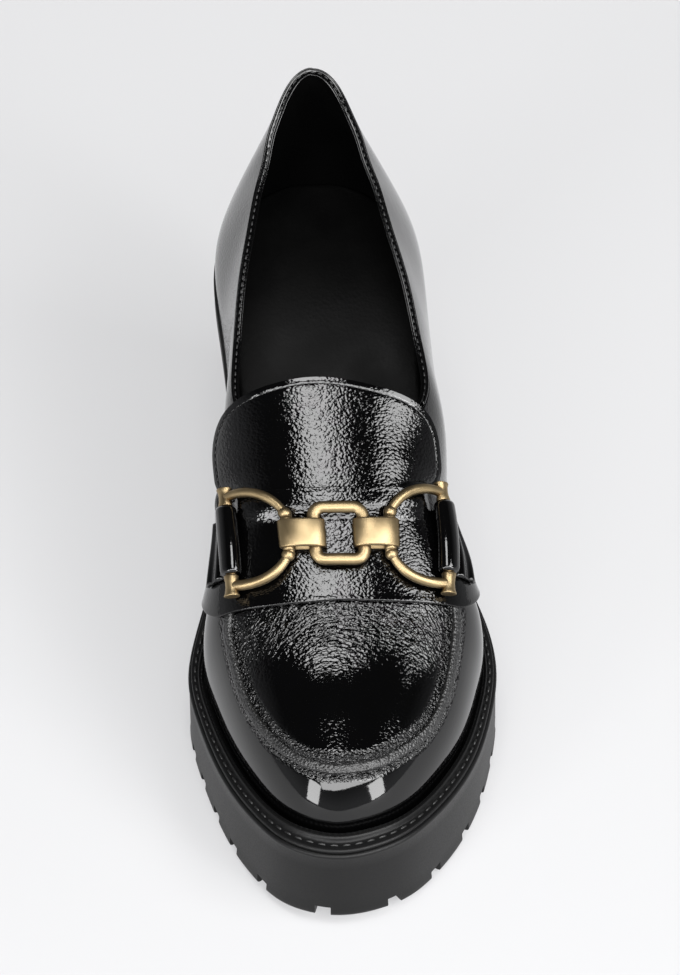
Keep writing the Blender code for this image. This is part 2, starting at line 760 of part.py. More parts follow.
def saddle_sweep(along, side):
    """How far the saddle's side runs back of its middle; its rear edge less on the lateral side."""
    back = (along - SADDLE_FRONT) / (SADDLE_BACK - SADDLE_FRONT)
    return SADDLE_SWEEP * (1.0 - SADDLE_TAPER[side] * back)


def make_saddle(shop):
    places = np.linspace(SADDLE_FRONT, SADDLE_BACK, 9)
    shares = np.linspace(0.0, 1.0, 23)
    rows = []
    for along in places:
        lateral = shares * (SHEET.side_length(along + saddle_sweep(along, 1), 1) - SADDLE_SKIRT)
        medial = shares * (SHEET.side_length(along + saddle_sweep(along, -1), -1) - SADDLE_SKIRT)
        arc = np.concatenate([lateral[::-1], -medial[1:]])
        sweep = np.where(arc > 0.0, saddle_sweep(along, 1), saddle_sweep(along, -1))
        swept = along + sweep * smooth_step(*SADDLE_SWEEP_ARC, np.abs(arc))
        rows.append(SHEET.at(swept, arc, saddle_underside(along, arc)))
    piece = shop.add("saddle", grid_mesh("saddle", np.array(rows)), shop.leather)
    add_shell(piece, SADDLE_THICKNESS, 1.0)


def on_saddle(points):
    """Carry points given as across, up the slope and height over the bit's plane onto the vamp."""
    points = np.asarray(points, float)
    across = BIT_ACROSS + points[:, 0] + BIT_TURN * points[:, 1]
    up = points[:, 1] - BIT_TURN * points[:, 0]
    return SHEET.at(BIT_CENTRE + up * math.cos(BIT_SLOPE), across, BIT_HEIGHT + BIT_TILT * up + points[:, 2])


def carry_mesh(mesh):
    """Move a mesh laid out flat, in millimetres, onto the vamp."""
    flat = np.array([vertex.co[:] for vertex in mesh.vertices])
    for vertex, place in zip(mesh.vertices, on_saddle(flat)):
        vertex.co = place * MM
    bm = bmesh.new()
    bm.from_mesh(mesh)
    bmesh.ops.recalc_face_normals(bm, faces=bm.faces)
    bm.to_mesh(mesh)
    bm.free()
    return mesh


def wire_mesh(name, path, radius, closed):
    """Round wire along a path of across, up, height and radius share."""
    data = bpy.data.curves.new(name, "CURVE")
    data.dimensions = "3D"
    data.bevel_depth = radius
    data.bevel_resolution = 2
    data.use_fill_caps = True
    line = data.splines.new("POLY")
    line.points.add(len(path) - 1)
    for point, (across, up, height, share) in zip(line.points, path):
        point.co = (across, up, height, 1.0)
        point.radius = share
    line.use_cyclic_u = closed
    guide = bpy.data.objects.new(name, data)
    bpy.context.scene.collection.objects.link(guide)
    shaped = guide.evaluated_get(bpy.context.evaluated_depsgraph_get())
    mesh = bpy.data.meshes.new_from_object(shaped)
    bpy.data.objects.remove(guide)
    bm = bmesh.new()
    bm.from_mesh(mesh)
    bmesh.ops.remove_doubles(bm, verts=bm.verts, dist=JOIN_RING)
    bm.to_mesh(mesh)
    bm.free()
    return mesh


def ring_path(side):
    """Half ring: straight outer bar, two arms that sweep in, and a short inner bar."""
    bar = RING_BAR_RADIUS / RING_WIRE_RADIUS
    inner = RING_INNER_RADIUS / RING_WIRE_RADIUS
    start = np.array([RING_BAR, RING_CAP_UP])
    bend = np.array([RING_INNER_BAR + RING_ARM_BEND[0], RING_CAP_UP + RING_ARM_BEND[1]])
    end = np.array([RING_INNER_BAR + RING_ARM_END, RING_BALL_UP])
    arm = []
    for share in np.linspace(0.1, 1.0, 8):
        point = (1.0 - share) ** 2 * start + 2.0 * share * (1.0 - share) * bend + share ** 2 * end
        arm.append((point[0], point[1], 0.0, 1.0 if share < 1.0 else inner))
    half = [(RING_BAR, RING_CAP_UP - RING_BAR_END, 0.0, bar), (RING_BAR, RING_CAP_UP, 0.0, bar)] + arm
    half.append((RING_INNER_BAR, RING_BALL_UP - RING_INNER_END, 0.0, inner))
    path = half + [(across, -up, height, share) for across, up, height, share in half[::-1]]
    return [(side * across, up, height, share) for across, up, height, share in path]


def ring_ends_mesh(name, side):
    """Caps on the outer bar and balls on the inner bar."""
    bm = bmesh.new()
    lie = Matrix.Rotation(math.radians(90.0), 4, "X")
    for turn in (1, -1):
        cap = Matrix.Translation((side * RING_BAR, turn * RING_CAP_UP, 0.0)) @ lie
        bmesh.ops.create_cone(bm, cap_ends=True, segments=12, depth=RING_CAP_LENGTH, matrix=cap,
                              radius1=RING_CAP_RADIUS, radius2=RING_CAP_RADIUS)
        ball = Matrix.Translation((side * (RING_INNER_BAR + RING_ARM_END), turn * RING_BALL_UP, 0.0))
        bmesh.ops.create_uvsphere(bm, u_segments=8, v_segments=6, radius=RING_BALL_RADIUS, matrix=ball)
    return to_mesh(bm, name)


def make_ring(shop, name, side):
    wire = carry_mesh(wire_mesh(name, ring_path(side), RING_WIRE_RADIUS, closed=True))
    piece = shop.add(name, wire, shop.brass)
    ends = carry_mesh(ring_ends_mesh(name + "_ends", side))
    add_boolean(piece, shop.add_cutter(name + "_ends", ends), "UNION")


def make_link_band(shop, name, side):
    """Flattened loop that ties a half ring to the middle ring."""
    turns = np.linspace(0.0, 2.0 * math.pi, 28, endpoint=False)
    power = 2.0 / BAND_POWER
    across = np.sign(np.cos(turns)) * np.abs(np.cos(turns)) ** power
    height = np.sign(np.sin(turns)) * np.abs(np.sin(turns)) ** power

    def loop(inset):
        x = side * BAND_CENTRE + across * (BAND_HALF_LENGTH - inset)
        return x, height * (BAND_HALF_HEIGHT - inset)

    outer = loop(0.0)
    inner = loop(BAND_WALL)
    rings = []
    for outer_x, outer_z, inner_x, inner_z in zip(*outer, *inner):
        corners = [(outer_x, -BAND_HALF_WIDTH, outer_z), (outer_x, BAND_HALF_WIDTH, outer_z),
                   (inner_x, BAND_HALF_WIDTH, inner_z), (inner_x, -BAND_HALF_WIDTH, inner_z)]
        rings.append(on_saddle(corners))
    shop.add(name, loft_mesh(name, rings + rings[:1], caps=(False, False)), shop.brass)


def make_link_square(shop):
    path = []
    for quarter in range(4):
        sign_x = 1 if quarter in (0, 3) else -1
        sign_y = 1 if quarter in (0, 1) else -1
        for step in range(5):
            turn = math.pi / 2.0 * (quarter + step / 4.0)
            across = sign_x * (SQUARE_HALF_ACROSS - SQUARE_CORNER) + SQUARE_CORNER * math.cos(turn)
            up = sign_y * (SQUARE_HALF_UP - SQUARE_CORNER) + SQUARE_CORNER * math.sin(turn)
            path.append((across, up, 0.0, 1.0))
    wire = wire_mesh("link_square", path, SQUARE_WIRE_RADIUS, closed=True)
    shop.add("link_square", carry_mesh(wire), shop.brass)


def keeper_profile():
    """Section of a keeper across the bar: a roll round it and a tail down the side."""
    outer = KEEPER_BORE + KEEPER_WALL
    floor = SADDLE_LIFT + SADDLE_THICKNESS + GAP - BIT_HEIGHT
    roll = [math.radians(angle) for angle in range(-30, 246, 25)]
    profile = [(RING_BAR + outer * math.cos(turn), outer * math.sin(turn)) for turn in roll]
    tail = RING_BAR + np.linspace(KEEPER_TAIL_START, KEEPER_TAIL, 5)
    profile += [(RING_BAR + KEEPER_LIP[0], floor + KEEPER_LIP[1])]
    profile += [(across, floor) for across in tail]
    profile += [(across, floor + KEEPER_WALL) for across in tail[::-1]]
    return profile


def make_keeper(shop, name, side):
    rings = []
    for up in np.linspace(-KEEPER_HALF_WIDTH, KEEPER_HALF_WIDTH, 5):
        tilt = BIT_TILT * up
        section = []
        for across, height in keeper_profile():
            tail = across > RING_BAR + KEEPER_ROLL_REACH or height < -KEEPER_BORE - KEEPER_WALL
            section.append((side * across, up, height - tilt if tail else height))
        rings.append(on_saddle(section))
    piece = shop.add(name, loft_mesh(name, rings), shop.leather)
    end = KEEPER_HALF_WIDTH + KEEPER_BORE_RUN_OUT
    line = [(side * RING_BAR, up, 0.0, 1.0) for up in (-end, end)]
    bore = wire_mesh(name + "_bore", line, KEEPER_BORE, closed=False)
    add_boolean(piece, shop.add_cutter(name + "_bore", carry_mesh(bore)), "DIFFERENCE")


def make_collar_binding(shop):
    """Rolled edge on the rim of the topline, round the back from one side of the tongue to the other."""
    places = upper_places()
    back = np.concatenate([places, places[-2:0:-1]]) > BINDING_START
    grid = upper_grid()[back]
    top = grid[:, -1]
    rise = top - grid[:, -2]
    outward = np.cross(np.gradient(top, axis=0), rise)
    rise /= np.linalg.norm(rise, axis=1)[:, None]
    outward /= np.linalg.norm(outward, axis=1)[:, None]
    line = top - outward * UPPER_WALL / 2.0 + rise * (GAP + BINDING_RADIUS)
    path = [(*point, 1.0) for point in line]
    mesh = wire_mesh("collar_binding", path, BINDING_RADIUS, closed=False)
    mesh.transform(Matrix.Scale(MM, 4))
    shop.add("collar_binding", mesh, shop.leather)


def settle(shop):
    """Put the origin on the floor under the middle of the shoe."""
    bpy.context.view_layer.update()
    view = bpy.context.evaluated_depsgraph_get()
    corners = []
    for piece in shop.parts.objects:
        if piece.type == "MESH":
            shaped = piece.evaluated_get(view)
            corners += [shaped.matrix_world @ Vector(corner) for corner in shaped.bound_box]
    middle = [(min(c[i] for c in corners) + max(c[i] for c in corners)) / 2.0 for i in (0, 1)]
    shop.root.location = (-middle[0], -middle[1], 0.0)


def main():
    for item in list(bpy.data.objects):
        bpy.data.objects.remove(item)
    shop = Shop()
    make_upper(shop)
    make_tongue(shop)
    make_insole(shop)
    make_outsole(shop)
    make_welt(shop)
    make_heel(shop)
    make_heel_lift(shop)
    make_collar_binding(shop)
    make_saddle(shop)
    for name, side in (("lateral", 1), ("medial", -1)):
        make_keeper(shop, "keeper_" + name, side)
        make_ring(shop, "ring_" + name, side)
        make_link_band(shop, "link_" + name, side)
    make_link_square(shop)
    settle(shop)


main()
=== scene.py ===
"""Looks of the heeled platform loafer pump: leather, stitching, rubber, brass, floor, light and camera.

Sizes are in millimetres in the shoe's own frame: "along" runs from the sole's tip at the toe to the
heel, x is positive to the lateral side, z is height over the floor. to_world() gives metres.
"""
import math
from collections import namedtuple

import bmesh
import bpy
import numpy as np
from mathutils import Matrix, Vector


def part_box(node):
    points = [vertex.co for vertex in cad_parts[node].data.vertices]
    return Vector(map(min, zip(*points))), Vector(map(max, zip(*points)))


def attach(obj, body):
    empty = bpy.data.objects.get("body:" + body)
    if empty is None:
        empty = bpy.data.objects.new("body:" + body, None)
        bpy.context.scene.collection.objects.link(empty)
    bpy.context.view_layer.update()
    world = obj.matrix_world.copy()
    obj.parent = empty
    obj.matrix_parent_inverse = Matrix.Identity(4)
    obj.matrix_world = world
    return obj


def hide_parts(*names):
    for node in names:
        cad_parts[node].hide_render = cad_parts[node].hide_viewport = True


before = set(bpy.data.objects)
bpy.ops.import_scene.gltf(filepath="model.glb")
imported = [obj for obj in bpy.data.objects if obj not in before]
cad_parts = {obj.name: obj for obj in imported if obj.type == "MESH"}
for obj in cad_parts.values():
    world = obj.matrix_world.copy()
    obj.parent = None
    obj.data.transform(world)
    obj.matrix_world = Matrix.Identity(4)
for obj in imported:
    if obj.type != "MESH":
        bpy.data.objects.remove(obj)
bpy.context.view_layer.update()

MM = 0.001
GAP = 0.3
UPPER_WALL = 1.8
TONGUE_THICKNESS = 1.5
SADDLE_THICKNESS = 1.4
INSOLE_THICKNESS = 2.5
BINDING_START = 134.0
TOE_POLE = 62.0
HEEL_POLE = 205.0
POLE_BLEND = 8.0
THROAT = 112.0
SEAM_HEIGHT = 1.05
SEAM_HALF_WIDTH = 1.6
SEAM_FADE = (70.0, 80.0)
SEAM_WINDOW = 8.0
PUCKER_PITCH = 2.6
PUCKER_HEIGHT = 0.1
PUCKER_REACH = {"plug": 5.4, "wall": 4.4}
SEAM_GROOVE = 0.25
TOE_SPRING = 4.5
BALL_FRONT = 38.0
BALL_BACK = 104.0
WAIST_START = 148.0
WAIST_THICKNESS = 8.0
LUG_DEPTH = 4.0
LUG_NOTCH_WIDTH = 5.2
LUG_NOTCH_INWARD = 12.0
LUG_NOTCH_OUTWARD = 4.0
LUG_NOTCH_ARCS = (-108.0, -93.0, -80.0, -65.0, -50.0, -31.0, -6.0,
                  18.5, 38.0, 58.0, 75.0, 91.0, 107.0)
WELT_END = 128.0
WELT_INSET = 0.8
WELT_MARGIN = 1.0
HEEL_BREAST = 187.0
HEEL_CENTRE = 218.0
HEEL_MARGIN = 0.6
LIFT_HEIGHT = 7.0
LIFT_NOTCH_ARCS = (-44.0, -26.0, -9.0, 9.0, 26.0, 44.0)
SADDLE_FRONT = 72.0
SADDLE_BACK = 104.0
SADDLE_SKIRT = 5.0
SADDLE_SWEEP = 26.0
SADDLE_SWEEP_ARC = (39.0, 80.0)
SADDLE_TAPER = {1: 0.5, -1: 0.0}
SADDLE_LIFT = 0.8
TONGUE_LIFT = 0.75
TONGUE_FLARE = 3.0
TONGUE_FLARE_START = (104.5, 113.0)
SADDLE_RISE = (94.5, 100.0)
SADDLE_RISE_ARC = (28.0, 32.5)
STRAP_SWEEP = 0.5
STRAP_SWEEP_LIMIT = 25.0
BIT_CENTRE = 90.4
BIT_SLOPE = math.radians(30.0)
BIT_HEIGHT = 6.0
BIT_TILT = 0.03
BIT_ACROSS = 1.1
BIT_TURN = 0.02
RING_BAR = 33.0
RING_BAR_RADIUS = 1.6
RING_CAP_UP = 14.9
RING_WIRE_RADIUS = 1.6
RING_INNER_BAR = 15.1
RING_INNER_RADIUS = 1.5
RING_BALL_UP = 6.7
RING_BALL_RADIUS = 2.0
RING_ARM_BEND = (5.5, 1.5)
RING_ARM_START = 0.6
RING_ARM_END = 0.5
RING_ARM_TAPER = 0.16
RING_NECK_OUT = 0.2
BAND_CENTRE = 11.1
BAND_HALF_LENGTH = 7.0
BAND_HALF_HEIGHT = 3.4
BAND_HALF_WIDTH = 4.55
BAND_WALL = 1.2
BAND_POWER = 2.1
SQUARE_HALF_ACROSS = 7.4
SQUARE_HALF_UP = 8.4
SQUARE_CORNER = 3.0
SQUARE_WIRE_RADIUS = 1.95
SQUARE_FLATNESS = 0.78
KEEPER_HALF_WIDTH = 11.2
KEEPER_BORE = 1.9
KEEPER_WALL = 1.2
KEEPER_TAIL = 13.0
KEEPER_UNDER_START = 4.5
KEEPER_OVER_END = 3.6
KEEPER_FOLD_PITCH = 4.6
KEEPER_FOLD_START = 6.6
TONGUE_EDGE = 0.55
TONGUE_RIM = 0.12
TONGUE_GROOVE = 0.14
TONGUE_SEAM_INSET = 1.8
TONGUE_SEAM_START = 108.0
TONGUE_RIM_GRAIN = 0.3
TONGUE_MORE_GRAIN = 0.4
SADDLE_EDGE = 0.45
SADDLE_RIM = 0.1
SADDLE_GRAIN = 0.7
SADDLE_LESS_GRAIN = 0.45
SADDLE_LESS_GRAIN_ARC = (30.0, 40.0)
COLLAR_LIFT = 0.5
COLLAR_THREAD_INSET = 0.2
TREAD_DEPTH = 2.6
TREAD_PITCH = 15.0
TREAD_SLANT = 0.35
WELT_TICK_PITCH = 1.8
WELT_TICK_DEPTH = 0.45
WELT_THREAD_SHARE = 0.66
WELT_THREAD_HEIGHT = 1.2
HEEL_ROUNDING = 2.2
HEEL_BREAST_DIP = 1.5
HEEL_POINTS = 240
HEEL_EDGE = 0.5
INSOLE_CUP = 1.6
INSOLE_CUP_START = (205.0, 238.0)
INSOLE_SHEET = 1.2
WELD_DISTANCE = 0.03
JOIN_DISTANCE = 0.02
SHARP_ANGLE = math.radians(42.0)
SHEET_ALONG = (66.0, 176.0)
SHEET_ARC = (-92.0, 93.0)
SHEET_OUTLINE = (40.0, 190.0)

# Stitches: pitch, length and radius of the thread
COLLAR_STITCH = (2.4, 1.8, 0.26)
TONGUE_STITCH = (2.3, 1.6, 0.2)
WELT_STITCH = (4.0, 3.0, 0.42)

# Outline of the last at the upper's lower edge: half widths on both sides
OutlineRow = namedtuple("OutlineRow", "along lateral medial")
OUTLINE = [OutlineRow(*row) for row in (
    (10.0, 0.0, 0.0),
    (11.6, 8.6, 7.0),
    (14.6, 15.6, 12.6),
    (20.0, 22.6, 18.2),
    (33.0, 32.2, 26.0),
    (50.0, 40.6, 33.0),
    (67.0, 45.6, 38.0),
    (85.0, 48.0, 40.6),
    (103.0, 44.6, 36.6),
    (122.0, 39.6, 32.5),
    (140.0, 38.2, 30.4),
    (158.0, 36.4, 29.2),
    (176.0, 35.4, 29.8),
    (194.0, 34.8, 31.6),
    (210.0, 34.0, 33.0),
    (226.0, 31.0, 30.8),
    (238.0, 24.0, 24.0),
    (246.0, 13.5, 13.5),
    (249.0, 0.0, 0.0),
)]

# Ribs of the last, which rise from the outline to the ridge. feather: height of the lower edge; wall: how
# steeply a rib rises; shoulder: how far its flat top reaches; flare: how far it bulges over the lower edge
# or, below 0, leans in from it; welt: how far the sole stands out beyond the lower edge
ProfileRow = namedtuple(
    "ProfileRow", "along feather wall shoulder_lateral shoulder_medial flare_lateral flare_medial welt")
PROFILE = [ProfileRow(*row) for row in (
    (0.0, 33.5, 0.55, 0.62, 0.62, -1.5, -1.5, 9.8),
    (10.0, 32.6, 0.55, 0.62, 0.62, -1.5, -1.5, 9.8),
    (20.0, 31.0, 0.56, 0.65, 0.65, -1.0, -1.0, 7.7),
    (33.0, 29.0, 0.58, 0.72, 0.72, 2.0, 1.0, 6.9),
    (50.0, 27.1, 0.61, 0.8, 0.8, 4.5, 2.0, 6.2),
    (67.0, 26.2, 0.64, 0.86, 0.86, 5.0, 2.5, 5.6),
    (85.0, 26.1, 0.66, 0.88, 0.88, 4.0, 2.5, 5.6),
    (103.0, 27.3, 0.66, 0.9, 0.9, -3.5, 1.5, 6.8),
    (122.0, 32.7, 0.67, 0.95, 0.99, 0.0, 4.5, 5.3),
    (140.0, 42.6, 0.68, 1.05, 1.16, 4.0, 5.2, 2.4),
    (158.0, 54.4, 0.54, 0.82, 1.03, 5.7, 4.7, 1.4),
    (176.0, 65.6, 0.38, 0.45, 0.66, 6.8, 4.7, 1.2),
    (194.0, 75.0, 0.26, 0.08, 0.18, 7.0, 5.4, 1.2),
    (210.0, 81.0, 0.2, -0.05, -0.06, 6.8, 6.6, 1.2),
    (226.0, 84.6, 0.18, -0.04, -0.06, 6.2, 7.0, 1.2),
    (238.0, 86.4, 0.23, 0.19, 0.2, 5.0, 6.2, 1.2),
    (246.0, 87.0, 0.31, 0.57, 0.6, 4.2, 4.8, 1.2),
    (251.0, 87.2, 0.36, 1.15, 1.15, 3.5, 3.5, 1.2),
)]

# Apron seam: its place on a rib, as a share of the rib's reach from the ridge
SeamRow = namedtuple("SeamRow", "along lateral medial")
SEAM = [SeamRow(*row) for row in (
    (10.0, 0.795, 0.795),
    (14.0, 0.813, 0.801),
    (20.0, 0.83, 0.814),
    (33.0, 0.885, 0.856),
    (50.0, 0.888, 0.882),
    (70.0, 0.854, 0.86),
    (80.0, 0.845, 0.853),
)]

# Ridge of the last, the line on top that the ribs run up to
RidgeRow = namedtuple("RidgeRow", "along x z")
RIDGE = [RidgeRow(*row) for row in (
    (62.0, 2.0, 70.0),
    (72.0, 2.2, 74.2),
    (88.0, 2.2, 83.0),
    (104.0, 0.8, 92.4),
    (122.0, -1.6, 102.6),
    (138.0, -3.4, 112.0),
    (150.0, -3.0, 121.0),
    (165.0, -2.2, 138.0),
    (180.0, -1.4, 155.0),
    (195.0, -0.6, 165.0),
    (205.0, 0.0, 168.0),
)]

# Height of the upper's top edge behind the throat
ToplineRow = namedtuple("ToplineRow", "along z")
TOPLINE = [ToplineRow(*row) for row in (
    (112.0, 97.0),
    (125.0, 97.0),
    (140.0, 98.8),
    (155.0, 103.6),
    (172.0, 111.0),
    (190.0, 119.0),
    (205.0, 125.5),
    (227.0, 136.8),
    (252.0, 158.5),
)]

# Half width of the tongue, laid flat
TongueRow = namedtuple("TongueRow", "along half_arc")
TONGUE = [TongueRow(*row) for row in (
    (101.0, 21.0),
    (103.5, 24.0),
    (105.5, 35.0),
    (108.0, 38.5),
    (112.0, 39.2),
    (117.0, 39.4),
    (121.5, 38.8),
    (125.5, 36.6),
    (128.5, 32.8),
    (130.8, 27.4),
    (132.8, 20.4),
    (134.5, 12.6),
    (135.7, 4.0),
)]

# Section of the welt: outwards as a share of its width, height over the sole
WeltRow = namedtuple("WeltRow", "outward height")
WELT = [WeltRow(*row) for row in (
    (0.00, 0.0),
    (0.00, 1.6),
    (0.05, 2.1),
    (0.13, 2.3),
    (0.19, 2.1),
    (0.23, 2.2),
    (0.27, 2.7),
    (0.33, 2.9),
    (0.39, 2.7),
    (0.43, 2.1),
    (0.47, 1.4),
    (0.52, 1.15),
    (0.72, 1.2),
    (0.90, 1.35),
    (0.97, 1.2),
    (1.00, 0.8),
    (1.00, 0.0),
)]

# Size of the heel's section against the sole above it, from the lift up
HeelRow = namedtuple("HeelRow", "height_share scale")
HEEL = [HeelRow(*row) for row in (
    (0.0, 0.87),
    (0.3, 0.86),
    (0.6, 0.89),
    (0.85, 0.95),
    (1.0, 1.0),
)]


def natural_spline(knots, values):
    """Return a smooth curve through the points as a function of an array, level beyond its ends."""
    knots = np.asarray(knots, float)
    values = np.asarray(values, float)
    steps = np.diff(knots)
    slopes = np.diff(values) / steps
    system = np.eye(len(knots))
    right = np.zeros(len(knots))
    for i in range(1, len(knots) - 1):
        system[i, i - 1:i + 2] = steps[i - 1], 2.0 * (steps[i - 1] + steps[i]), steps[i]
        right[i] = 6.0 * (slopes[i] - slopes[i - 1])
    bend = np.linalg.solve(system, right)

    def at(where):
        where = np.clip(where, knots[0], knots[-1])
        i = np.clip(np.searchsorted(knots, where) - 1, 0, len(steps) - 1)
        after = where - knots[i]
        before = knots[i + 1] - where
        step = steps[i]
        cubic = (bend[i] * before ** 3 + bend[i + 1] * after ** 3) / (6.0 * step)
        low = (values[i] / step - bend[i] * step / 6.0) * before
        high = (values[i + 1] / step - bend[i + 1] * step / 6.0) * after
        return cubic + low + high

    return at


def column(table, name):
    return natural_spline([row.along for row in table], [getattr(row, name) for row in table])


feather_z = column(PROFILE, "feather")
rib_wall = column(PROFILE, "wall")
rib_shoulder = {1: column(PROFILE, "shoulder_lateral"), -1: column(PROFILE, "shoulder_medial")}
rib_flare = {1: column(PROFILE, "flare_lateral"), -1: column(PROFILE, "flare_medial")}
welt_width = column(PROFILE, "welt")
seam_reach = {1: column(SEAM, "lateral"), -1: column(SEAM, "medial")}
ridge_x = column(RIDGE, "x")
ridge_z = column(RIDGE, "z")
topline_z = column(TOPLINE, "z")


def smooth_step(low, high, value):
    share = np.clip((value - low) / (high - low), 0.0, 1.0)
    return share * share * (3.0 - 2.0 * share)


def bump(value, centre, width):
    """Bell of height 1 round a centre."""
    return np.exp(-((value - centre) / width) ** 2)


def soft_ramp(value):
    return POLE_BLEND * np.logaddexp(0.0, np.asarray(value) / POLE_BLEND)


def rib_root(along):
    """Place on the ridge that a rib starting at this place on the outline runs up to."""
    return TOE_POLE + soft_ramp(along - TOE_POLE) - soft_ramp(along - HEEL_POLE)


def ridge_slope(along):
    reach = 0.5
    low = np.clip(along - reach, TOE_POLE, HEEL_POLE)
    high = np.clip(along + reach, TOE_POLE, HEEL_POLE)
    return (ridge_z(high) - ridge_z(low)) / (high - low)


def closed_outline(count=1440):
    """Points of the feather outline and its outward normals, from the toe round the lateral side."""
    loop = [(row.lateral, row.along) for row in OUTLINE]
    loop += [(-row.medial, row.along) for row in OUTLINE[-2:0:-1]]
    tiled = np.array(loop * 3 + loop[:1])
    chords = np.hypot(*np.diff(tiled, axis=0).T)
    travel = np.concatenate([[0.0], np.cumsum(chords)])
    where = np.linspace(travel[len(loop)], travel[2 * len(loop)], count, endpoint=False)
    points = np.stack([natural_spline(travel, tiled[:, i])(where) for i in (0, 1)], axis=1)
    tangent = np.roll(points, -1, axis=0) - np.roll(points, 1, axis=0)
    tangent /= np.linalg.norm(tangent, axis=1)[:, None]
    return points, np.stack([tangent[:, 1], -tangent[:, 0]], axis=1)


OUTLINE_POINTS, OUTLINE_NORMALS = closed_outline()


class Outline:
    """The feather outline moved outwards, read by along on its lateral (+1) or medial (-1) side."""

    def __init__(self, offset):
        points = OUTLINE_POINTS + OUTLINE_NORMALS * offset(OUTLINE_POINTS[:, 1])[:, None]
        self.loop = np.roll(points, -int(np.argmin(points[:, 1])), axis=0)
        turn = int(np.argmax(self.loop[:, 1]))
        self.front = self.loop[0, 1]
        self.back = self.loop[turn, 1]
        self.sides = {1: self.loop[:turn + 1], -1: np.concatenate([self.loop[:1], self.loop[:turn - 1:-1]])}

    def x(self, along, side):
        points = self.sides[side]
        return np.interp(along, points[:, 1], points[:, 0])


def even(amount):
    return lambda along: np.full_like(along, amount, dtype=float)


FEATHER = Outline(even(0.0))


def rib_points(along, side, shares):
    """Points of the last's ribs: a row for each place along the outline, a point for each share."""
    along = np.asarray(along, float)
    root_along = rib_root(along)
    foot = np.stack([FEATHER.x(along, side), along, feather_z(along)], axis=1)
    root = np.stack([ridge_x(root_along), root_along, ridge_z(root_along)], axis=1)
    run = foot[:, :2] - root[:, :2]
    reach = np.linalg.norm(run, axis=1)
    run /= reach[:, None]
    flank = foot.copy()
    flank[:, :2] += run * rib_flare[side](along)[:, None]
    flank[:, 2] += rib_wall(along) * (root[:, 2] - foot[:, 2])
    top_reach = rib_shoulder[side](along) * reach
    crown = root.copy()
    crown[:, :2] += run * top_reach[:, None]
    crown[:, 2] += ridge_slope(root_along) * run[:, 1] * top_reach
    share = np.asarray(shares, float)
    share = np.broadcast_to(share, (len(along), share.shape[-1]))[..., None]
    rest = 1.0 - share
    return (rest ** 3 * foot[:, None] + 3.0 * rest ** 2 * share * flank[:, None]
            + 3.0 * rest * share ** 2 * crown[:, None] + share ** 3 * root[:, None])


FINE_SHARES = np.linspace(0.0, 1.0, 241)


class LastSheet:
    """The instep of the last unrolled: along on the ridge and arc across it, positive to lateral."""

    def __init__(self):
        self.along = np.arange(*SHEET_ALONG, 1.0)
        self.arc = np.arange(*SHEET_ARC, 1.0)
        outline = np.linspace(*SHEET_OUTLINE, 601)
        feet = np.interp(self.along, rib_root(outline), outline)
        plain = np.empty((len(self.along), len(self.arc), 3))
        self.length = {}
        for side in (1, -1):
            ribs = rib_points(feet, side, FINE_SHARES[::-1])
            travel = np.cumsum(np.linalg.norm(np.diff(ribs, axis=1), axis=2), axis=1)
            travel = np.concatenate([np.zeros((len(feet), 1)), travel], axis=1)
            self.length[side] = travel[:, -1]
            half = self.arc * side >= 0.0
            for i in range(len(feet)):
                for axis in range(3):
                    plain[i, half, axis] = np.interp(self.arc[half] * side, travel[i], ribs[i, :, axis])
        drop = ridge_z(self.along)[:, None] - plain[..., 2]
        swept = STRAP_SWEEP * STRAP_SWEEP_LIMIT * (1.0 - np.exp(-drop / STRAP_SWEEP_LIMIT))
        self.points = np.empty_like(plain)
        for j in range(len(self.arc)):
            for axis in range(3):
                self.points[:, j, axis] = np.interp(self.along + swept[:, j], self.along, plain[:, j, axis])
        normal = np.cross(np.gradient(self.points, axis=1), np.gradient(self.points, axis=0))
        self.normals = normal / np.maximum(np.linalg.norm(normal, axis=2), 1e-9)[..., None]

    def at(self, along, arc, height):
        """Points at a height over the last, for arrays of along, arc and height."""
        along, arc, height = np.broadcast_arrays(along, arc, height)
        row = np.clip(along - self.along[0], 0.0, len(self.along) - 1.001)
        col = np.clip(arc - self.arc[0], 0.0, len(self.arc) - 1.001)
        i = row.astype(int)
        j = col.astype(int)
        u = (row - i)[..., None]
        w = (col - j)[..., None]

        def blend(grid):
            near = grid[i, j] * (1.0 - w) + grid[i, j + 1] * w
            far = grid[i + 1, j] * (1.0 - w) + grid[i + 1, j + 1] * w
            return near * (1.0 - u) + far * u

        return blend(self.points) + blend(self.normals) * height[..., None]

    def side_length(self, along, side):
        return np.interp(along, self.along, self.length[side])


SHEET = LastSheet()


def frame_shift():
    """Shift from the shoe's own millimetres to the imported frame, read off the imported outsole."""
    low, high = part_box("outsole")
    loop = Outline(welt_width).loop
    middle = (loop.min(axis=0) + loop.max(axis=0)) / 2.0
    return np.array([(low.x + high.x) / 2.0 - middle[0] * MM, (low.y + high.y) / 2.0 - middle[1] * MM, 0.0])


SHIFT = frame_shift()


def to_world(points):
    return np.asarray(points, float) * MM + SHIFT


# Materials


